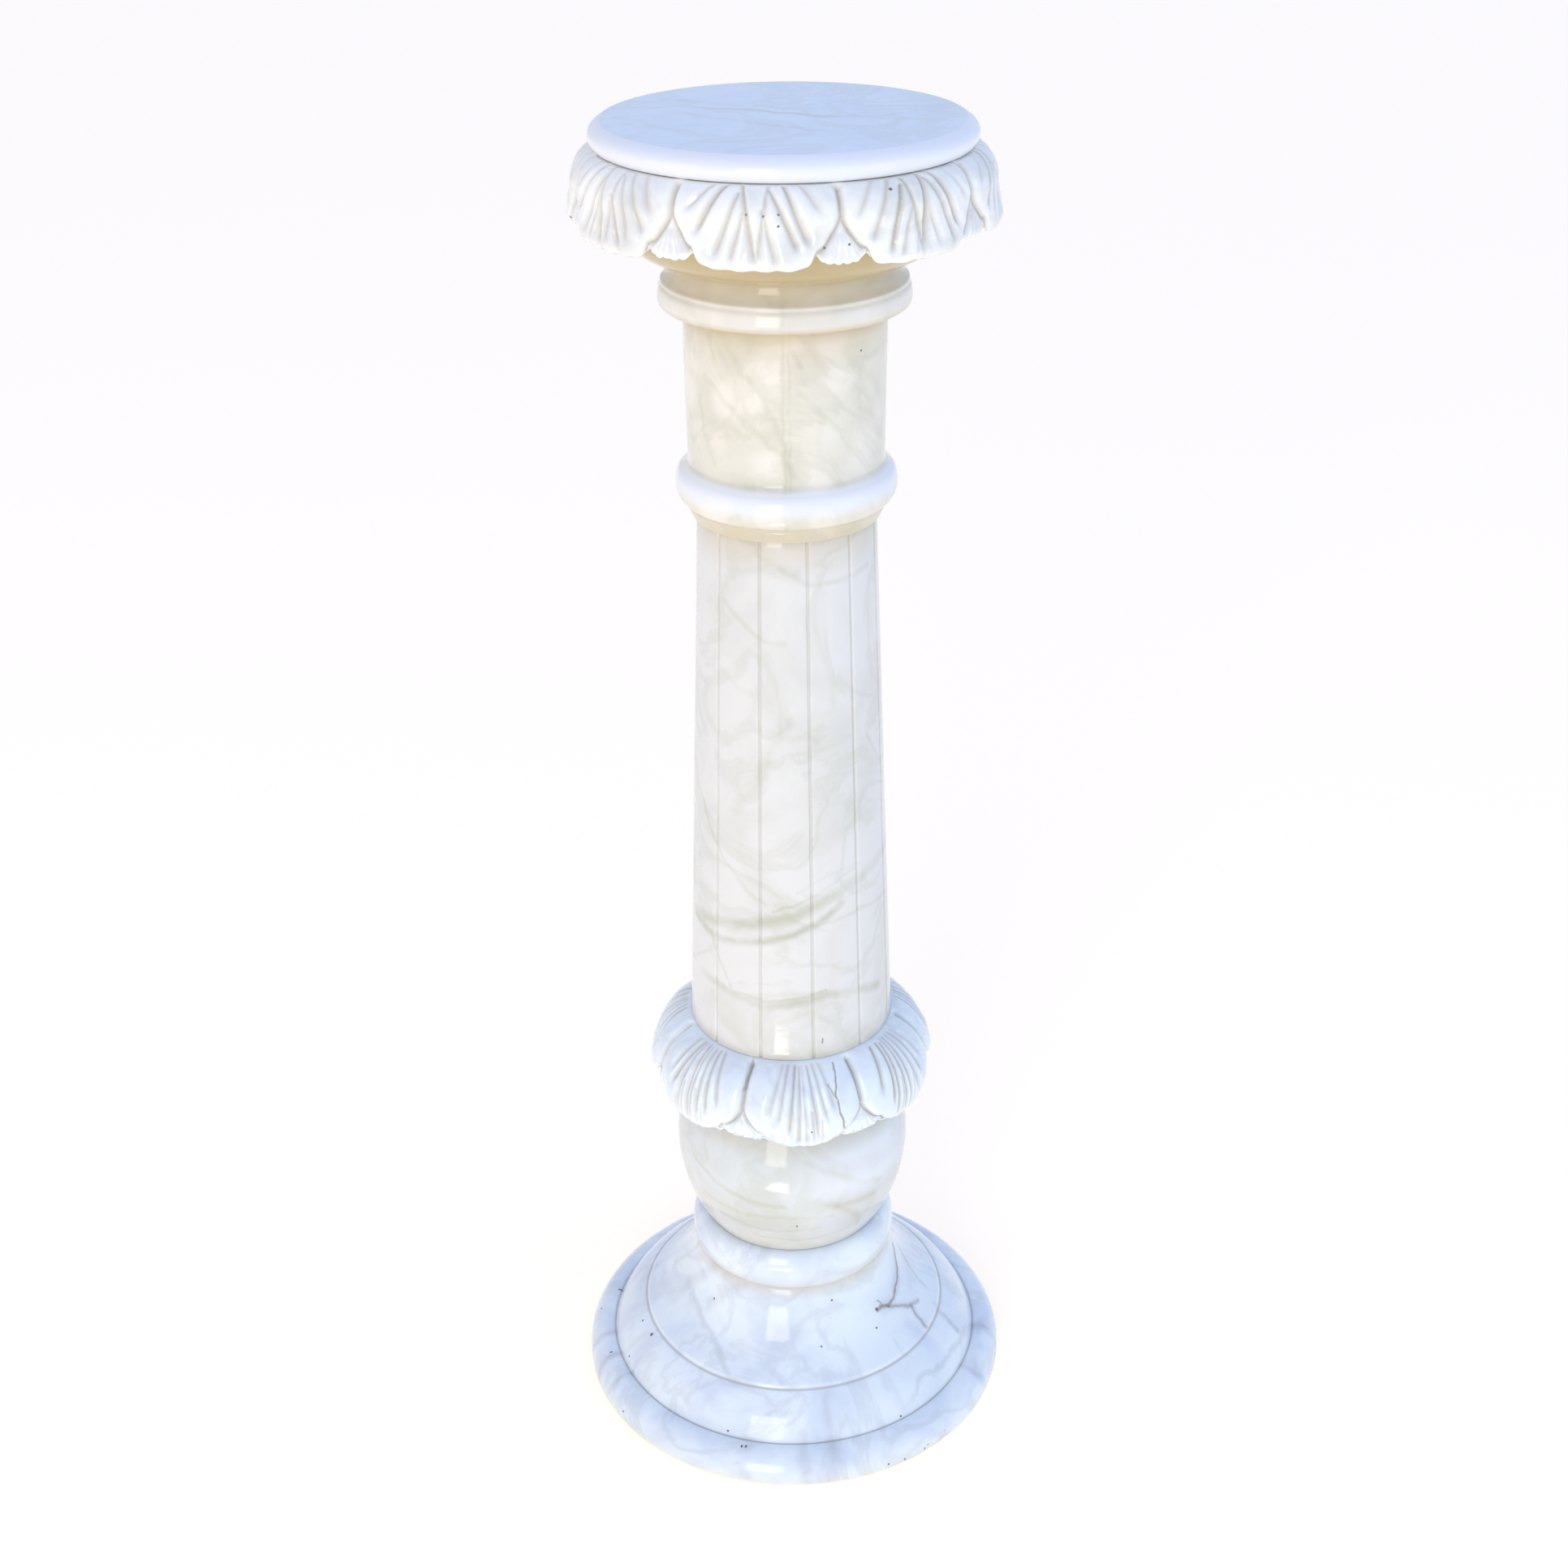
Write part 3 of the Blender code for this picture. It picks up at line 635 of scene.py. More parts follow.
def polished_alabaster(name, body, shade, radius, cloud, cloudiness, pits, seed, vein="vein", blobs=0.0,
                       lines=(), cracks=(), veins=(), spots=()):
    """Polished alabaster: light sinks a few millimetres in, so edges glow and cuts stay soft."""
    material = bpy.data.materials.new(name)
    material.use_nodes = True
    tree = material.node_tree
    vein = stone_colour(vein)
    where = add_node(tree, "ShaderNodeTexCoord", out="Object")
    moved = add_node(tree, "ShaderNodeMapping", {"Vector": where, "Location": (seed, 2.0 * seed, -seed)})
    clouds = add_node(tree, "ShaderNodeTexNoise", {"Vector": moved, "Scale": 1.0 / cloud, "Detail": 5.0,
                      "Roughness": 0.55, "Distortion": 0.6}, "Fac")
    patch = add_node(tree, "ShaderNodeMapRange", {"Value": clouds, "From Min": 0.44, "From Max": 0.68})
    tone = stain(tree, stone_colour(body), stone_colour(shade), patch, cloudiness)
    sway = add_node(tree, "ShaderNodeTexNoise", {"Vector": moved, "Scale": SWAY_SCALE, "Detail": 4.0,
                    "Roughness": 0.6}, "Fac")
    waver = add_node(tree, "ShaderNodeMath", {0: sway, 1: WAVER, 2: -WAVER / 2}, operation="MULTIPLY_ADD")
    if blobs:
        # Pale round blobs of purer gypsum, 15 to 25 mm across
        balls = add_node(tree, "ShaderNodeTexVoronoi", {"Vector": moved, "Scale": BLOB_SCALE,
                         "Smoothness": 0.4}, "Distance", feature="SMOOTH_F1")
        pale = add_node(tree, "ShaderNodeMapRange", {"Value": balls, "From Min": 0.62, "From Max": 0.20},
                        interpolation_type="SMOOTHSTEP")
        tone = stain(tree, tone, linear("#F3EDE5"), pale, blobs)
    # Fine natural veins everywhere: soft ridges of a stretched noise, 3 to 5 mm wide
    web = add_node(tree, "ShaderNodeTexNoise", {"Vector": moved, "Scale": WEB_SCALE, "Detail": 5.0,
                   "Roughness": 0.58, "Distortion": 1.2}, "Fac")
    ridge = add_node(tree, "ShaderNodeMath", {0: web, 1: 0.5}, operation="SUBTRACT")
    ridge = add_node(tree, "ShaderNodeMath", {0: ridge}, operation="ABSOLUTE")
    soft = add_node(tree, "ShaderNodeMapRange", {"Value": ridge, "From Min": 0.055, "From Max": 0.0},
                    interpolation_type="SMOOTHSTEP")
    tone = stain(tree, tone, vein, soft, WEB_STRENGTH)
    for *sheet, strength in veins:
        tone = stain(tree, tone, vein, vein_sheet(tree, where, waver, *sheet), strength)
    # Drawn veins come and go with the cloudy patches
    broken = add_node(tree, "ShaderNodeMapRange", {"Value": clouds, "From Min": 0.38, "From Max": 0.58,
                      "To Min": 0.35})
    flat = unrolled(tree, where, radius)
    for points, half_width, strength in lines:
        share = drawn_line(tree, flat, radius, points, half_width)
        share = add_node(tree, "ShaderNodeMath", {0: share, 1: broken}, operation="MULTIPLY")
        tone = stain(tree, tone, vein, share, strength)
    sunk = []
    for points, half_width, strength in cracks:
        sunk.append(drawn_line(tree, flat, radius, points, half_width))
        tone = stain(tree, tone, stone_colour("crack"), sunk[-1], strength)
    if spots:
        sunk.append(pinholes(tree, where, spots))
        tone = stain(tree, tone, stone_colour("pit"), sunk[-1])
    # Scattered pinholes about 1 mm across
    cells = add_node(tree, "ShaderNodeTexVoronoi", {"Vector": moved, "Scale": PIT_SCALE}).node.outputs
    hole = add_node(tree, "ShaderNodeMapRange", {"Value": cells["Distance"], "From Min": 0.050,
                    "From Max": 0.025})
    chosen = add_node(tree, "ShaderNodeSeparateColor", {0: cells["Color"]})
    rare = add_node(tree, "ShaderNodeMath", {0: chosen, 1: 1.0 - pits}, operation="GREATER_THAN")
    sunk.append(add_node(tree, "ShaderNodeMath", {0: hole, 1: rare}, operation="MULTIPLY"))
    tone = stain(tree, tone, stone_colour("pit"), sunk[-1])
    height = sway
    for share in sunk:
        height = add_node(tree, "ShaderNodeMath", {0: height, 1: share}, operation="SUBTRACT")
    # Painted light, painted warm shade, and painted shade with some dirt in the cuts, kept with the
    # stone's points
    for kept, low, tint, strength in (("bleach", 0.0, "#F1F4FA", 1.0), ("warmth", 0.0, "warm", 1.0),
                                      ("cut_depth", 0.08, "hollow", CUT_SHADE_STRENGTH)):
        share = add_node(tree, "ShaderNodeAttribute", out="Fac", attribute_name=kept)
        share = add_node(tree, "ShaderNodeMapRange", {"Value": share, "From Min": low})
        tone = stain(tree, tone, stone_colour(tint), share, strength)
    bump = add_node(tree, "ShaderNodeBump", {"Height": height, "Strength": 0.6, "Distance": 0.0006})
    gloss = add_node(tree, "ShaderNodeMapRange", {"Value": sway, "From Min": 0.3, "From Max": 0.7,
                     "To Min": 0.06, "To Max": 0.13})
    set_inputs(tree, tree.nodes["Principled BSDF"], {
        "Base Color": tone, "Roughness": gloss, "Normal": bump, "IOR": 1.52, "Subsurface Weight": 0.30,
        "Subsurface Radius": (1.0, 0.85, 0.65), "Subsurface Scale": 0.003})
    return material


# Marks in the stones, placed one by one. Each line or crack is a row of points, each as degrees from the
# front and height, with the half width of the line and its strength. Each vein is a sheet through the
# stone: a point of it, its normal, its half width, how far it reaches and its strength. Each spot is
# a hole: its place and its radius. Sizes and places are in millimetres here
BASE_LINES = (
    (((87.4, 99.7), (77, 90), (69.6, 84.7), (60, 80), (50, 80)), 6, 0.45),
    (((54.1, 79.1), (66.1, 67.7), (63.4, 55.5)), 5, 0.35),
    (((104, 100), (95, 90), (87.2, 76.5), (82.7, 62.8)), 3.5, 0.45),
    (((77, 56), (74.5, 52), (73.5, 37.9)), 3, 0.5),
    (((-52, 118), (-62, 100), (-70, 85), (-72, 70)), 9, 0.4),
    (((-80, 110), (-88, 90), (-94, 74)), 5, 0.5),
    (((-30, 112), (-42, 100), (-50, 84)), 8, 0.3),
    (((-82, 23), (-80, 6)), 4, 0.5),
    (((-72, 23), (-70, 5)), 3, 0.45),
    (((-62, 23.5), (-63, 8)), 3, 0.45),
    (((64, 23.5), (66, 8)), 3, 0.35),
    (((84, 23), (80, 6)), 4, 0.45),
    (((2, 30), (3, 4)), 4, 0.25),
    (((11, 50), (10, 4)), 4, 0.25),
    (((-14, 23), (-13, 6)), 4, 0.25),
    (((34, 50), (36, 30)), 5, 0.25),
)
BASE_CRACKS = (
    (((87.4, 99.7), (77, 90), (69.6, 84.7), (60, 80), (54.1, 79.1)), 1.8, 0.7),
    (((54.1, 79.1), (50, 81.2), (46.5, 81.5)), 2.4, 0.75),
    (((54.1, 79.1), (58, 75), (66.1, 67.7), (63.4, 55.5)), 2, 0.5),
    (((66.1, 67.7), (72, 66)), 2.2, 0.4),
    (((51, 82), (49, 87)), 1.2, 0.6),
    (((-150, 90), (-140, 70), (-143, 52)), 1, 0.5),
)
BASE_VEINS = (
    ((-75, -80, 85), (0.8, 0.2, 0.5), 5, 70, 0.3),
    ((120, -70, 40), (-0.8, 0.5, 0.2), 4, 70, 0.3),
    ((0, 120, 50), (0.6, 0.3, 0.7), 6, 120, 0.4),
)
BASE_SPOTS = (
    (-162.4, 12.4, 19.1, 1.1), (-150.1, -44.3, 22.4, 1.1), (-146.2, 30.5, 22.7, 1.1),
    (-123.6, -36.1, 48.6, 1.1), (-137.2, -98.9, 10.1, 1.1), (-52.3, -137.4, 25.9, 1.1),
    (-41.4, -150.5, 22.6, 1.1), (-38.2, -150.7, 22.7, 1.1), (-63.6, -58, 90.3, 1.1),
    (30.1, -74.8, 102.3, 1.1), (65.8, -73.7, 72.5, 1.1), (83.6, -121.7, 24.6, 1.1),
    (165.9, -34.9, 8.7, 1.1), (72.8, -153.6, 5.6, 1.1), (60, 120, 40, 1.1), (103.5, -132, 5, 1.1),
    (101, -134.5, 3.5, 1.1), (117.5, -119, 7, 1.1), (86, -147, 4, 1.1), (-90, 110, 30, 1.1),
    (-115.4, -53.8, 49.7, 1.8), (66.1, -62.7, 82.1, 1.8),
)
BALL_LINES = (
    (((8, 245), (22, 233), (34, 220), (48, 211)), 5, 0.5),
    (((10, 212), (24, 202), (44, 200)), 6, 0.45),
    (((22, 202), (34, 187), (38, 172)), 6, 0.4),
    (((-58, 226), (-40, 216), (-20, 208), (-4, 207)), 3.5, 0.45),
    (((-50, 196), (-25, 193), (0, 196), (20, 192)), 3.5, 0.35),
    (((-40, 183), (-12, 179), (14, 182)), 3, 0.35),
    (((-22, 170), (4, 167), (24, 170)), 2.5, 0.35),
)
BALL_VEINS = (
    ((0, 80, 210), (0.5, 0.2, 0.8), 5, 80, 0.4),
)
BALL_SPOTS = (
    (3, -86.3, 186, 1),
)
COLLAR_CRACKS = (
    (((-21.2, 332), (-20.8, 326), (-21.6, 316)), 2.2, 0.4),
    (((21.5, 331), (19, 318), (19.5, 303), (22, 286)), 1.3, 0.75),
    (((16, 322), (19, 314)), 1, 0.5),
)
COLLAR_SPOTS = (
    (14.2, -106.8, 290.8, 0.9),
)
SHAFT_LINES = (
    (((-72, 432), (-45, 439), (-15.4, 449), (4, 456), (22.1, 468), (50, 477.5), (80, 484), (110, 480)),
      8, 0.7),
    (((-72, 429), (-42.1, 425.4), (-15, 433), (13.4, 446.1), (30, 460)), 5, 0.75),
    (((-10, 459), (4, 465), (22.1, 476), (40, 485)), 2.2, 0.5),
    (((13.4, 446.1), (45, 450), (75, 444)), 3, 0.35),
    (((4, 474), (22, 486), (45, 488)), 2.2, 0.35),
    (((-60, 387), (-42, 385), (-11.8, 379), (19.6, 387), (40, 383), (59, 375.3)), 6.5, 0.65),
    (((-42, 387), (-11.8, 383.8), (19.6, 390.6)), 2.2, 0.5),
    (((-52, 426), (-46, 410), (-36, 389)), 2.5, 0.45),
    (((-62, 530), (-50, 505), (-40, 490)), 2.5, 0.4),
    (((-38, 490), (-25, 472), (-14, 464)), 3, 0.28),
    (((-42, 690), (-25, 674), (-14, 666), (-2, 665)), 3.6, 0.28),
    (((-44, 640), (-34, 630), (-22, 626)), 3.6, 0.3),
    (((0, 608), (-10, 588), (-18, 562), (-34, 535)), 8, 0.26),
    (((-5, 720), (10, 708), (30, 706), (60, 709)), 3.5, 0.45),
    (((-22, 740), (-10, 724), (4, 713)), 9.5, 0.28),
    (((54, 585), (62, 570), (70, 556)), 3, 0.28),
    (((14, 595), (17, 590)), 4, 0.22),
)
SHAFT_CRACKS = (
    (((17.3, 350), (17.5, 347)), 1.2, 0.8),
)
SHAFT_VEINS = (
    ((0, 65, 460), (0.35, 0.1, 0.93), 8, 90, 0.4),
    ((0, 65, 640), (0.55, 0.1, 0.8), 7, 90, 0.28),
)
NECK_LINES = (
    (((-1.5, 900), (-1.2, 875), (-1.8, 820), (-0.5, 778), (-1, 745)), 2.4, 0.32),
    (((2.2, 884), (1.6, 850), (2, 800), (2.6, 760)), 2, 0.24),
    (((-34, 868), (-22, 850), (-12, 836), (-3, 812), (3, 785)), 4.5, 0.3),
    (((-50, 846), (-30, 826), (-15, 812), (2, 792)), 4, 0.28),
    (((-46, 872), (-42, 855), (-38, 846)), 4.5, 0.28),
    (((6, 880), (14, 868), (24, 850), (34, 846)), 4.5, 0.24),
    (((4, 868), (9, 857)), 2.6, 0.28),
    (((8, 840), (20, 824), (18, 806)), 4.5, 0.3),
    (((-56, 830), (-52, 805), (-44, 786)), 4, 0.2),
    (((-10, 906), (-4, 900), (14, 908)), 4, 0.3),
    (((20, 916), (24, 900), (22, 892)), 5, 0.35),
)
NECK_VEINS = (
    ((55, -40, 840), (0.8, 0.1, 0.55), 6, 50, 0.16),
    ((-60, -40, 890), (0.5, 0.1, 0.7), 5, 40, 0.22),
    ((0, 67, 820), (0.6, 0.1, 0.7), 5, 100, 0.4),
)
NECK_SPOTS = (
    (48.3, -47.1, 862.4, 1),
)
CAPITAL_SPOTS = (
    (-12.4, -134.1, 969.1, 0.9), (-22.3, -131.8, 969.6, 0.9), (-3.4, -135.1, 970.2, 0.9),
    (-3.5, -136.4, 963.4, 0.9), (-114.9, -61.8, 978.4, 0.9), (23.5, -131.3, 949.6, 0.9),
    (38.2, -129.2, 950.9, 0.9), (119.1, -58.8, 950.5, 0.9), (50, 120, 960, 0.9),
    (-134.1, -15.4, 940, 1.4), (62.4, -113, 979, 1.3),
)
TOP_VEINS = (
    ((-10, 10, 1000), (0.35, 0.93, 0.1), 4, 60, 0.55),
    ((-20, -20, 1000), (0.55, 0.8, 0.1), 6, 80, 0.2),
    ((-40, 40, 1000), (0.45, 0.9, 0.1), 8, 80, 0.15),
    ((60, -10, 1000), (0.2, 0.98, 0.1), 6, 60, 0.15),
)

# Chips in the rim: place, size and depth, in metres
BASE_CHIPS = (
    ((0.1072, -0.1322, 0.003), 0.005, 0.0014),
    ((0.1195, -0.1202, 0.004), 0.006, 0.0016),
    ((-0.0900, 0.1440, 0.003), 0.008, 0.0020),
)

# How each stone looks: its body and its clouds as a colour of the settings or a hex colour, the radius
# at which its face is laid flat and the size of its clouds in metres, how far the clouds show, the
# share of scattered pinholes, and the place in the noise that makes it differ from the others
LOOKS = {
    "base": dict(
        name="Polished bluish alabaster, base", body="cool", shade="#CFD8E6", vein="#B3B4BA",
        radius=0.09, cloud=0.06, cloudiness=0.75, pits=0.1, seed=1.0, lines=BASE_LINES,
        cracks=BASE_CRACKS, veins=BASE_VEINS, spots=BASE_SPOTS),
    "ball": dict(
        name="Polished pale alabaster, ball", body="pale", shade="#CED1CD", radius=widest("ball"),
        cloud=0.05, cloudiness=0.7, pits=0.02, seed=2.0, lines=BALL_LINES, veins=BALL_VEINS,
        spots=BALL_SPOTS),
    "leaf_collar": dict(
        name="Polished cool alabaster, leaf collar", body="cool", shade="#D9DFE8", vein="#B9BAC0",
        radius=0.1, cloud=0.03, cloudiness=0.6, pits=0.06, seed=3.0, cracks=COLLAR_CRACKS,
        spots=COLLAR_SPOTS),
    # The shaft's white is darker than the capital's: partly its own tone, partly painted shade for the
    # weaker light it gets
    "shaft": dict(
        name="Polished white alabaster, shaft", body="#E1E0DC", shade="#D7D6CF", radius=0.069,
        cloud=0.06, cloudiness=0.8, pits=0.03, seed=4.0, lines=SHAFT_LINES, cracks=SHAFT_CRACKS,
        veins=SHAFT_VEINS),
    "neck": dict(
        name="Polished ivory alabaster, neck", body="ivory", shade="#D9D5C7", radius=0.067, cloud=0.028,
        cloudiness=0.8, blobs=0.65, pits=0.01, seed=5.0, lines=NECK_LINES, veins=NECK_VEINS,
        spots=NECK_SPOTS),
    "leaf_capital": dict(
        name="Polished white alabaster, leaf capital", body="white", shade="#DFE0DA", vein="#C4C3BC",
        radius=0.135, cloud=0.03, cloudiness=0.6, pits=0.06, seed=6.0, spots=CAPITAL_SPOTS),
    # The top's pale blue body and clouds are white stone with the cool light from above painted in:
    # painted light
    "top_slab": dict(
        name="Polished white alabaster, top", body="#DFEDFB", shade="#D2E0F1", radius=0.12, cloud=0.06,
        cloudiness=0.6, pits=0.02, seed=7.0, veins=TOP_VEINS),
}


def keep_painted_warm_shade(stone, steps):
    """Keeps painted warm shade by height, the warm glow of shaded stone painted into its colour, from
    pairs of height and share.
    """
    heights, shares = zip(*sorted(steps))
    keep_values(stone, "warmth", np.interp(points_of(stone)[:, 2], heights, shares))


def set_in_place(stone, node):
    """Polishes a finished stone and lets it stand for the plain stone of the frame."""
    stone.data.materials.clear()
    stone.data.materials.append(polished_alabaster(**LOOKS[node]))
    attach(stone, "root")
    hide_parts(node)


# The stones


class PEDESTAL_OT_base(bpy.types.Operator):
    """Turn the base: rim, grooves, hollow cone and the ring under the ball"""
    bl_idname = "pedestal.base"
    bl_label = "Base"

    def execute(self, context):
        s = context.scene.pedestal_base
        rim = widest("base")
        rim_top = s.rim_edge + s.rim_round
        cone_foot = rim_top + s.band_height
        cone_top = cone_foot + s.cone_height
        ring_radius = s.seat_radius + s.ring_bulge
        cone_radius = ring_radius - s.ring_quirk
        ring_middle = cone_top + s.ring_lower
        outer = rim - s.rim_depth
        inner = outer - s.band_depth
        half = s.groove_width / 2
        outside = arc((s.seat_radius, ring_middle), (s.ring_bulge, crown("base") - ring_middle),
                      90, 0, 16)
        outside += arc((cone_radius, ring_middle), (s.ring_quirk, s.ring_lower), 0, -90, 12)
        outside += bowed((cone_radius, cone_top), (inner - half, cone_foot + half), -s.cone_hollow, 30)
        outside += [(inner, cone_foot - s.groove_depth)]
        outside += bowed((inner + half, cone_foot - half), (outer - half, rim_top + half),
                         s.band_swell, 12)
        outside += [(outer, rim_top - s.groove_depth)]
        outside += arc((outer + half, s.rim_edge), (s.rim_depth - half, s.rim_round), 90, 0, 16)
        foot_edge = 0.0012
        outside += [(rim, foot_edge), (rim - foot_edge, 0.0)]
        profile = capped(worn(outside, spacing=0.0011, passes=1))
        stone = turn_on_lathe("base_stone", profile, 360)
        points = points_of(stone)
        for place, size, depth in BASE_CHIPS:
            points = chip(points, place, size, depth)
        set_points(stone, points)
        # Painted warm shade at the foot and under the ring
        keep_painted_warm_shade(stone, ((0.0, 0.10), (0.012, 0.0), (cone_top - 0.012, 0.0), (cone_top, 0.45),
                            (cone_top + 0.006, 0.10), (ring_middle, 0.0), (1.0, 0.0)))
        across = radius_of(points)
        groove = np.minimum(np.hypot(across - inner, points[:, 2] - cone_foot + s.groove_depth),
                            np.hypot(across - outer, points[:, 2] - rim_top + s.groove_depth))
        # The grooves are darkened: painted shade
        groove_shade, dark_until, clear_from = 0.7, 0.0006, 0.0022
        keep_values(stone, "cut_depth", groove_shade * (1.0 - smooth(groove, dark_until, clear_from)))
        set_in_place(stone, "base")
        return {"FINISHED"}


class PEDESTAL_OT_ball(bpy.types.Operator):
    """Turn the ball with its flat foot and crown"""
    bl_idname = "pedestal.ball"
    bl_label = "Ball"

    def execute(self, context):
        s = context.scene.pedestal_ball
        radius = widest("ball")
        middle = (0.0, foot("ball") + s.lower)
        top = math.acos(s.crown_radius / radius)
        under = math.acos(s.foot_radius / radius)
        upper = (radius, (crown("ball") - middle[1]) / math.sin(top))
        lower = (radius, s.lower / math.sin(under))
        outside = arc(middle, upper, math.degrees(top), 0, 40)
        outside += arc(middle, lower, 0, -math.degrees(under), 40)
        stone = turn_on_lathe("ball_stone", capped(worn(outside, spacing=0.0025, passes=0)), 192)
        # Painted warm shade at the foot and under the leaves of the collar
        keep_painted_warm_shade(stone, ((0.0, 0.3), (foot("ball"), 0.30), (foot("ball") + 0.012, 0.22),
                            (0.205, 0.05), (0.245, 0.05), (0.262, 0.35), (0.275, 0.9), (1.0, 0.9)))
        points = points_of(stone)
        angle = angle_of(points)
        # A painted patch of light on the upper right of the ball, with a cloudy edge
        lit_patch = smooth(points[:, 2], 0.200, 0.225) * (1.0 - smooth(points[:, 2], 0.240, 0.258))
        lit_patch *= smooth(angle, -5.0, 25.0) * (1.0 - smooth(angle, 55.0, 85.0))
        lit_patch *= 0.55 + 0.35 * waves(points, size=0.045, seed=9)
        keep_values(stone, "bleach", lit_patch)
        set_in_place(stone, "ball")
        return {"FINISHED"}


class PEDESTAL_OT_leaf_collar(bpy.types.Operator):
    """Turn and carve the leaf collar that falls over the ball"""
    bl_idname = "pedestal.leaf_collar"
    bl_label = "Leaf collar"

    def execute(self, context):
        s = context.scene.pedestal_collar
        hem = foot("leaf_collar")
        bed = hem + s.hang
        wide = hem + s.curl
        hem_radius = s.top_radius + s.out - s.hem_in
        back = hem_radius - s.lip
        turn = 72.0
        shoulder = reach_of(s.out, s.shoulder, turn)
        middle = (s.top_radius + s.out - shoulder[0], wide)
        front = arc(middle, shoulder, turn, 0, 40)
        front += arc((hem_radius, wide), (s.hem_in, s.curl), 0, -90, 20)
        front = worn(front, spacing=0.0010, passes=0)
        front[0][1] = crown("leaf_collar")
        rear = [tuple(front[-1]), (back, hem + s.lip / 4), (back, bed + s.undercut)]
        rear = worn(rear, spacing=0.0012, passes=2)[1:]
        ball_top = context.scene.pedestal_ball.crown_radius
        under = worn([(back, bed + s.undercut), (ball_top, bed)], spacing=0.0040, passes=0)[1:]
        profile = capped(np.vstack([front, rear, under]))
        stone = turn_on_lathe("leaf_collar_stone", profile, s.leaves * 120)
        carve_leaves(stone, profile, len(front), s, COLLAR_CUTS, COLLAR_LEAF, seed=40)
        set_in_place(stone, "leaf_collar")
        return {"FINISHED"}


class PEDESTAL_OT_shaft(bpy.types.Operator):
    """Turn the tapering shaft and cut its narrow flutes"""
    bl_idname = "pedestal.shaft"
    bl_label = "Shaft"

    def execute(self, context):
        s = context.scene.pedestal_shaft
        low, high = foot("shaft"), crown("shaft")
        edge_in, edge_rise = 0.0004, 0.0006
        outside = [(s.top_radius - edge_in, high), (s.top_radius, high - edge_rise)]
        outside += [(s.foot_radius, low + edge_rise), (s.foot_radius - edge_in, low)]
        middle = bowed(outside[1], outside[2], 0.0, 70)
        profile = capped(np.array([outside[0], *middle, outside[3]]))
        stone = turn_on_lathe("shaft_stone", profile, s.flutes * 40)
        points = points_of(stone)
        radius = radius_of(points)
        step = 360.0 / s.flutes
        turned = (angle_of(points) - s.turn) / step
        flute = np.round(turned)
        share = turned - flute
        # The points gather at the flutes, whose floor and edge are shares of their width
        gather, floor, edge = 1.7, 0.22, 0.55
        share = np.sign(share) * 0.5 * np.abs(2.0 * share) ** gather
        off = np.abs(share) * step * math.pi / 180.0 * radius
        cut = s.flute_depth * (1.0 - smooth(off, s.flute_width * floor, s.flute_width * edge))
        face = radius > 0.95 * (s.top_radius - edge_in)
        angle = np.radians(s.turn + (flute + share) * step)
        uneven = 0.00012
        radius = np.where(face, radius - cut + uneven * waves(points, size=0.05, seed=5), radius)
        points[:, 0] = radius * np.sin(angle)
        points[:, 1] = -radius * np.cos(angle)
        set_points(stone, points)
        # The flutes are darkened a little: painted shade
        flute_shade = 0.20
        keep_values(stone, "cut_depth", np.where(face, cut / s.flute_depth, 0.0) * flute_shade)
        # Painted warm shade at the foot, by the collar, and under the neck
        keep_painted_warm_shade(stone, ((0.0, 0.25), (low, 0.25), (low + 0.010, 0.0), (high - 0.030, 0.0),
                            (high, 0.35)))
        set_in_place(stone, "shaft")
        return {"FINISHED"}


class PEDESTAL_OT_neck(bpy.types.Operator):
    """Turn the neck: fillet, bead, drum, band and cove"""
    bl_idname = "pedestal.neck"
    bl_label = "Neck"

    def execute(self, context):
        s = context.scene.pedestal_neck
        low, high = foot("neck"), crown("neck")
        bead_foot = low + s.fillet_height
        bead_top = bead_foot + s.bead_height
        drum_top = bead_top + s.drum_height
        lip_foot = drum_top + s.band_height
        quirk = s.fillet_top - s.bead_quirk
        under_lip = s.lip_radius - s.lip / 2
        band_foot = drum_top + s.band_edge
        band = (s.band_radius - under_lip, lip_foot - band_foot)
        outside = bowed((s.top_radius, high), (s.lip_radius, lip_foot + s.lip), -s.hollow, 14)
        outside += [(under_lip, lip_foot), *arc((under_lip, band_foot), band, 60, 0, 12)]
        outside += arc((s.band_radius - s.band_edge, band_foot), (s.band_edge, s.band_edge), 0, -90, 8)
        drum_gap = 0.0040
        outside += [(s.drum_top, drum_top), (s.drum_foot, bead_top + drum_gap)]
        outside += arc((quirk, bead_foot + s.bead_height / 2), (s.bead_out, s.bead_height / 2),
                       72, -90, 24)
        outside += [(s.fillet_top, bead_foot - s.bead_quirk), (s.fillet_foot, low)]
        stone = turn_on_lathe("neck_stone", capped(worn(outside, spacing=0.0011, passes=1)), 256)
        # Painted warm shade on the fillet, under the band and in the cove under the capital
        keep_painted_warm_shade(stone, ((low, 0.50), (bead_foot - 0.002, 0.45), (bead_foot + 0.003, 0.15),
                            (bead_foot + 0.010, 0.0), (drum_top - 0.030, 0.0), (drum_top - 0.012, 0.25),
                            (drum_top, 0.80), (drum_top + 0.005, 0.10), (lip_foot - 0.004, 0.05),
                            (lip_foot, 0.20), (lip_foot + 0.004, 0.32), (high, 0.80)))
        height = points_of(stone)[:, 2]
        # The bead and the band are painted lighter: painted light
        on_bead = smooth(height, bead_foot + 0.006, bead_foot + 0.018)
        on_bead *= 1.0 - smooth(height, bead_top - 0.001, bead_top + 0.003)
        on_band = smooth(height, drum_top, drum_top + 0.004) * (1.0 - smooth(height, lip_foot, high))
        bead_painted_light, band_painted_light = 0.85, 0.35
        keep_values(stone, "bleach", bead_painted_light * on_bead + band_painted_light * on_band)
        set_in_place(stone, "neck")
        return {"FINISHED"}


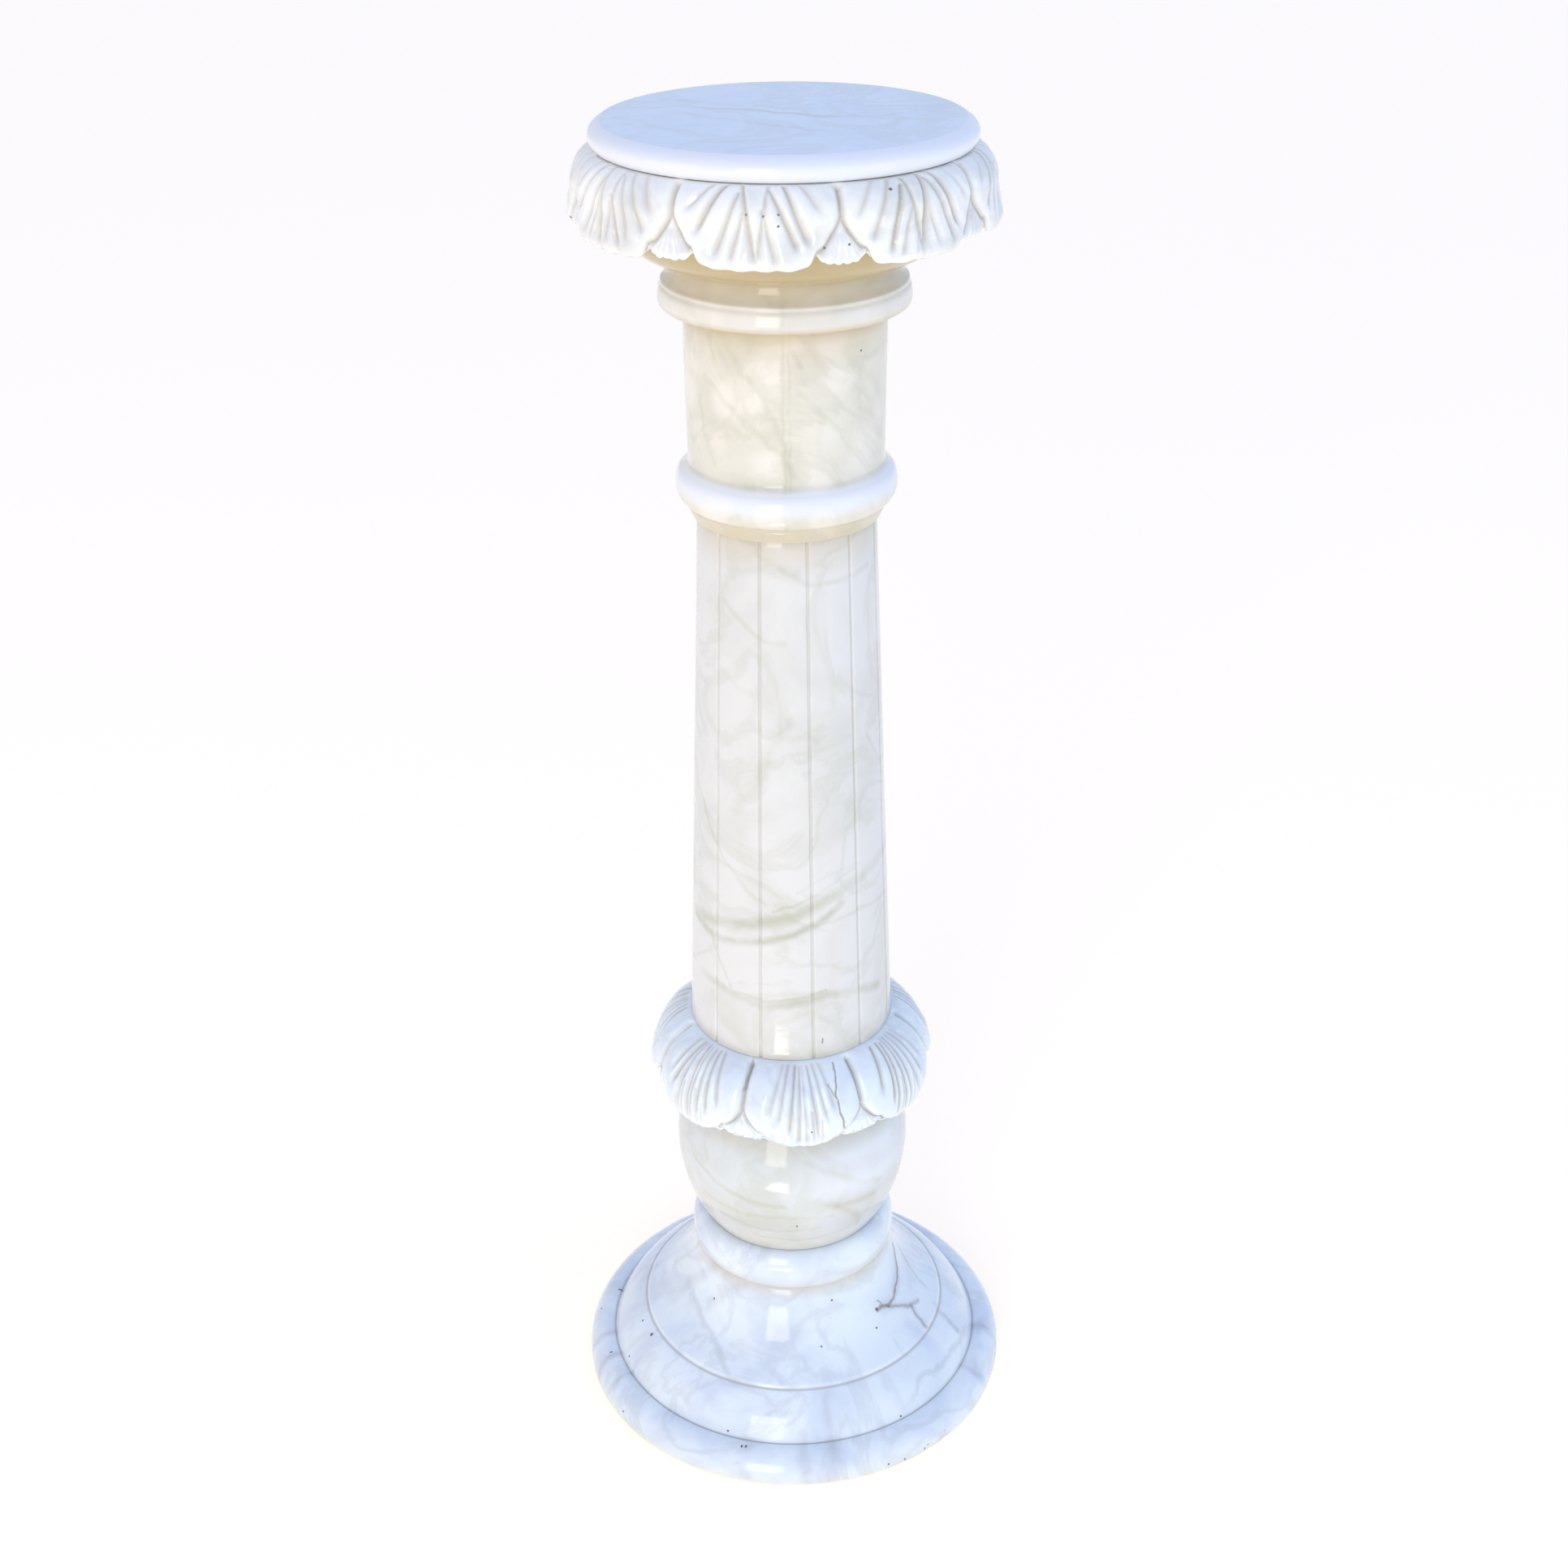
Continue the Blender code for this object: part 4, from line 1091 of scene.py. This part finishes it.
class PEDESTAL_OT_leaf_capital(bpy.types.Operator):
    """Turn and carve the capital: a bowl with hanging leaves"""
    bl_idname = "pedestal.leaf_capital"
    bl_label = "Leaf capital"

    def execute(self, context):
        s = context.scene.pedestal_capital
        low = foot("leaf_capital")
        bowl_top = low + s.bowl_height
        hem = bowl_top - s.hang
        wide = hem + s.curl
        hem_radius = s.top_radius + s.out - s.hem_in
        back = hem_radius - s.lip
        front = arc((s.top_radius, wide), (s.out, crown("leaf_capital") - wide), 90, 0, 40)
        front += arc((hem_radius, wide), (s.hem_in, s.curl), 0, -90, 20)
        front = worn(front, spacing=0.0010, passes=0)
        rear = [tuple(front[-1]), (back, hem + s.lip / 4), (back, bowl_top), (back - s.ledge, bowl_top)]
        rear = worn(rear, spacing=0.0015, passes=2)[1:]
        bowl = bowed((back - s.ledge, bowl_top), (s.foot_radius, low), s.bowl_swell, 24)[1:]
        profile = capped(np.vstack([front, rear, bowl]))
        stone = turn_on_lathe("leaf_capital_stone", profile, s.leaves * 110)
        past_hem = carve_leaves(stone, profile, len(front), s, CAPITAL_CUTS, CAPITAL_LEAF, seed=80)
        # Painted warm shade behind the hem, under the leaves
        keep_values(stone, "warmth", smooth(past_hem, 0.5 * s.lip, 1.5 * s.lip))
        set_in_place(stone, "leaf_capital")
        return {"FINISHED"}


class PEDESTAL_OT_top_slab(bpy.types.Operator):
    """Turn the round top with its bullnose edge"""
    bl_idname = "pedestal.top_slab"
    bl_label = "Top"

    def execute(self, context):
        s = context.scene.pedestal_slab
        radius = widest("top_slab")
        nose = foot("top_slab") + s.under
        arris = 44.0
        reach = reach_of(s.nose_in, crown("top_slab") - nose, arris)
        outside = arc((radius - reach[0], nose), reach, arris, 0, 16)
        outside += arc((radius - s.foot_in, nose), (s.foot_in, s.under), 0, -90, 14)
        flat = radius - s.nose_in
        edge_in = 0.0008
        outside = [(flat - edge_in, crown("top_slab")), *worn(outside, spacing=0.0007, passes=0)]
        stone = turn_on_lathe("top_slab_stone", capped(outside, rings=12), 256, crease=30.0)
        # The nose is painted lighter than the top and a touch warmer: painted light
        on_nose = smooth(radius_of(points_of(stone)), flat - 0.0012, flat + 0.0004)
        keep_values(stone, "bleach", on_nose)
        nose_painted_warm_shade = 0.10
        keep_values(stone, "warmth", nose_painted_warm_shade * on_nose)
        set_in_place(stone, "top_slab")
        return {"FINISHED"}


class PEDESTAL_OT_stage(bpy.types.Operator):
    """Set the pale floor, the soft studio light and the camera"""
    bl_idname = "pedestal.stage"
    bl_label = "Stage"

    def execute(self, context):
        s = context.scene.pedestal_stage
        lay_floor(s)
        hang_lights(s)
        place_camera()
        context.scene.view_settings.view_transform = "Standard"
        return {"FINISHED"}


# The floor lies just under the column and glows a little, as bright and warm as a lit studio floor
FLOOR_RADIUS = 14.0
FLOOR_DROP = 0.0005
FLOOR_GLOW = (1.0, 0.76, 0.30, 1.0)
FLOOR_GLOW_STRENGTH = 0.42
# Name, which is also the setting of its power, place, what it points at, size and colour
LIGHTS = (
    ("window", (-0.90, -3.3, 1.20), (0.0, 0.0, 0.45), (1.2, 2.1), "#FFF6E8"),
    ("side", (2.6, -1.3, 1.1), (0.0, 0.0, 0.4), (1.6, 1.9), "#C8E4FF"),
    ("gleam", (-0.11, -0.53, 0.005), (-0.11, -0.53, 1.0), (0.17, 0.26), "#FFF8EE"),
    ("fill", (-3.2, -1.2, 1.2), (0.0, 0.0, 0.5), (1.6, 2.2), "#FFEBD6"),
)
# Where the photograph was taken from, worked out from the round edges: pitch down, yaw and roll in
# degrees, place in metres, and the focal length and the picture's width in pixels
CAMERA_TURN = (27.9204, -0.15552, 0.57647)
CAMERA_PLACE = (0.0, -1.40760, 1.27066)
FOCAL_LENGTH_PX = 2688.72
PHOTO_WIDTH_PX = 1932.0
SENSOR_WIDTH_MM = 36.0


def lay_floor(s):
    """A wide matt floor that glows a little."""
    bpy.ops.object.select_all(action="DESELECT")
    bpy.ops.mesh.primitive_circle_add(vertices=96, radius=FLOOR_RADIUS, fill_type="NGON",
                                      location=(0.0, 0.0, -FLOOR_DROP))
    floor = bpy.context.object
    floor.name = "floor"
    material = bpy.data.materials.new("Matt pale studio floor, lit from below")
    material.use_nodes = True
    tree = material.node_tree
    set_inputs(tree, tree.nodes["Principled BSDF"], {
        "Base Color": (*s.floor, 1.0), "Roughness": 0.9, "Specular IOR Level": 0.1,
        "Emission Color": FLOOR_GLOW, "Emission Strength": FLOOR_GLOW_STRENGTH})
    floor.data.materials.append(material)


def hang_lights(s):
    """A cool dome and four soft lights, which the camera doesn't see."""
    world = bpy.data.worlds.new("Soft studio dome")
    bpy.context.scene.world = world
    world.use_nodes = True
    tree = world.node_tree
    toward = add_node(tree, "ShaderNodeTexCoord", out="Generated")
    parts = add_node(tree, "ShaderNodeSeparateXYZ", {0: toward}).node.outputs
    height = add_node(tree, "ShaderNodeMapRange", {"Value": parts["Z"], "From Min": 0.05,
                      "From Max": 0.85}, interpolation_type="SMOOTHSTEP")
    side = add_node(tree, "ShaderNodeMapRange", {"Value": parts["X"], "From Min": -0.8,
                    "From Max": 0.8}, interpolation_type="SMOOTHSTEP")
    level = stain(tree, s.left, s.right, side)
    set_inputs(tree, tree.nodes["Background"], {"Color": stain(tree, level, s.above, height)})
    for name, place, aim, size, tint in LIGHTS:
        bpy.ops.object.light_add(type="AREA", location=place)
        light = bpy.context.object
        light.name = name
        light.data.shape = "RECTANGLE"
        light.data.size, light.data.size_y = size
        light.data.energy = getattr(s, name)
        light.data.color = linear(tint)
        direction = Vector(aim) - Vector(place)
        light.rotation_euler = direction.to_track_quat("-Z", "Y").to_euler()
        light.visible_camera = False


def place_camera():
    """Puts the camera where the photograph was taken from."""
    pitch, yaw, roll = (math.radians(a) for a in CAMERA_TURN)
    forward = Vector((math.sin(yaw) * math.cos(pitch), math.cos(yaw) * math.cos(pitch),
                      -math.sin(pitch)))
    right = Vector((math.cos(yaw), -math.sin(yaw), 0.0))
    down = forward.cross(right)
    across = right * math.cos(roll) + down * math.sin(roll)
    along = down * math.cos(roll) - right * math.sin(roll)
    bpy.ops.object.camera_add()
    camera = bpy.context.object
    camera.name = "camera"
    turn = Matrix((across, -along, -forward)).transposed().to_4x4()
    camera.matrix_world = Matrix.Translation(CAMERA_PLACE) @ turn
    camera.data.sensor_fit = "HORIZONTAL"
    camera.data.sensor_width = SENSOR_WIDTH_MM
    camera.data.lens = FOCAL_LENGTH_PX / PHOTO_WIDTH_PX * SENSOR_WIDTH_MM
    camera.data.clip_end = 60.0
    bpy.context.scene.camera = camera


OPERATORS = (
    PEDESTAL_OT_base,
    PEDESTAL_OT_ball,
    PEDESTAL_OT_leaf_collar,
    PEDESTAL_OT_shaft,
    PEDESTAL_OT_neck,
    PEDESTAL_OT_leaf_capital,
    PEDESTAL_OT_top_slab,
    PEDESTAL_OT_stage,
)


class PEDESTAL_PT_panel(bpy.types.Panel):
    """Lists the steps that make the column"""
    bl_idname = "PEDESTAL_PT_panel"
    bl_label = "Alabaster pedestal column"
    bl_space_type = "VIEW_3D"
    bl_region_type = "UI"
    bl_category = "Pedestal"

    def draw(self, context):
        for step in OPERATORS:
            self.layout.operator(step.bl_idname)
        for name in SETTINGS:
            box = self.layout.box()
            for key in getattr(context.scene, name).bl_rna.properties.keys():
                if key not in ("rna_type", "name"):
                    box.prop(getattr(context.scene, name), key)


def register():
    for name, group in SETTINGS.items():
        bpy.utils.register_class(group)
        setattr(bpy.types.Scene, name, PointerProperty(type=group))
    for part in (*OPERATORS, PEDESTAL_PT_panel):
        bpy.utils.register_class(part)


def unregister():
    for part in (PEDESTAL_PT_panel, *reversed(OPERATORS)):
        bpy.utils.unregister_class(part)
    for name, group in SETTINGS.items():
        delattr(bpy.types.Scene, name)
        bpy.utils.unregister_class(group)


def main():
    register()
    bpy.ops.pedestal.base()
    bpy.ops.pedestal.ball()
    bpy.ops.pedestal.leaf_collar()
    bpy.ops.pedestal.shaft()
    bpy.ops.pedestal.neck()
    bpy.ops.pedestal.leaf_capital()
    bpy.ops.pedestal.top_slab()
    bpy.ops.pedestal.stage()


if __name__ == "__main__":
    main()
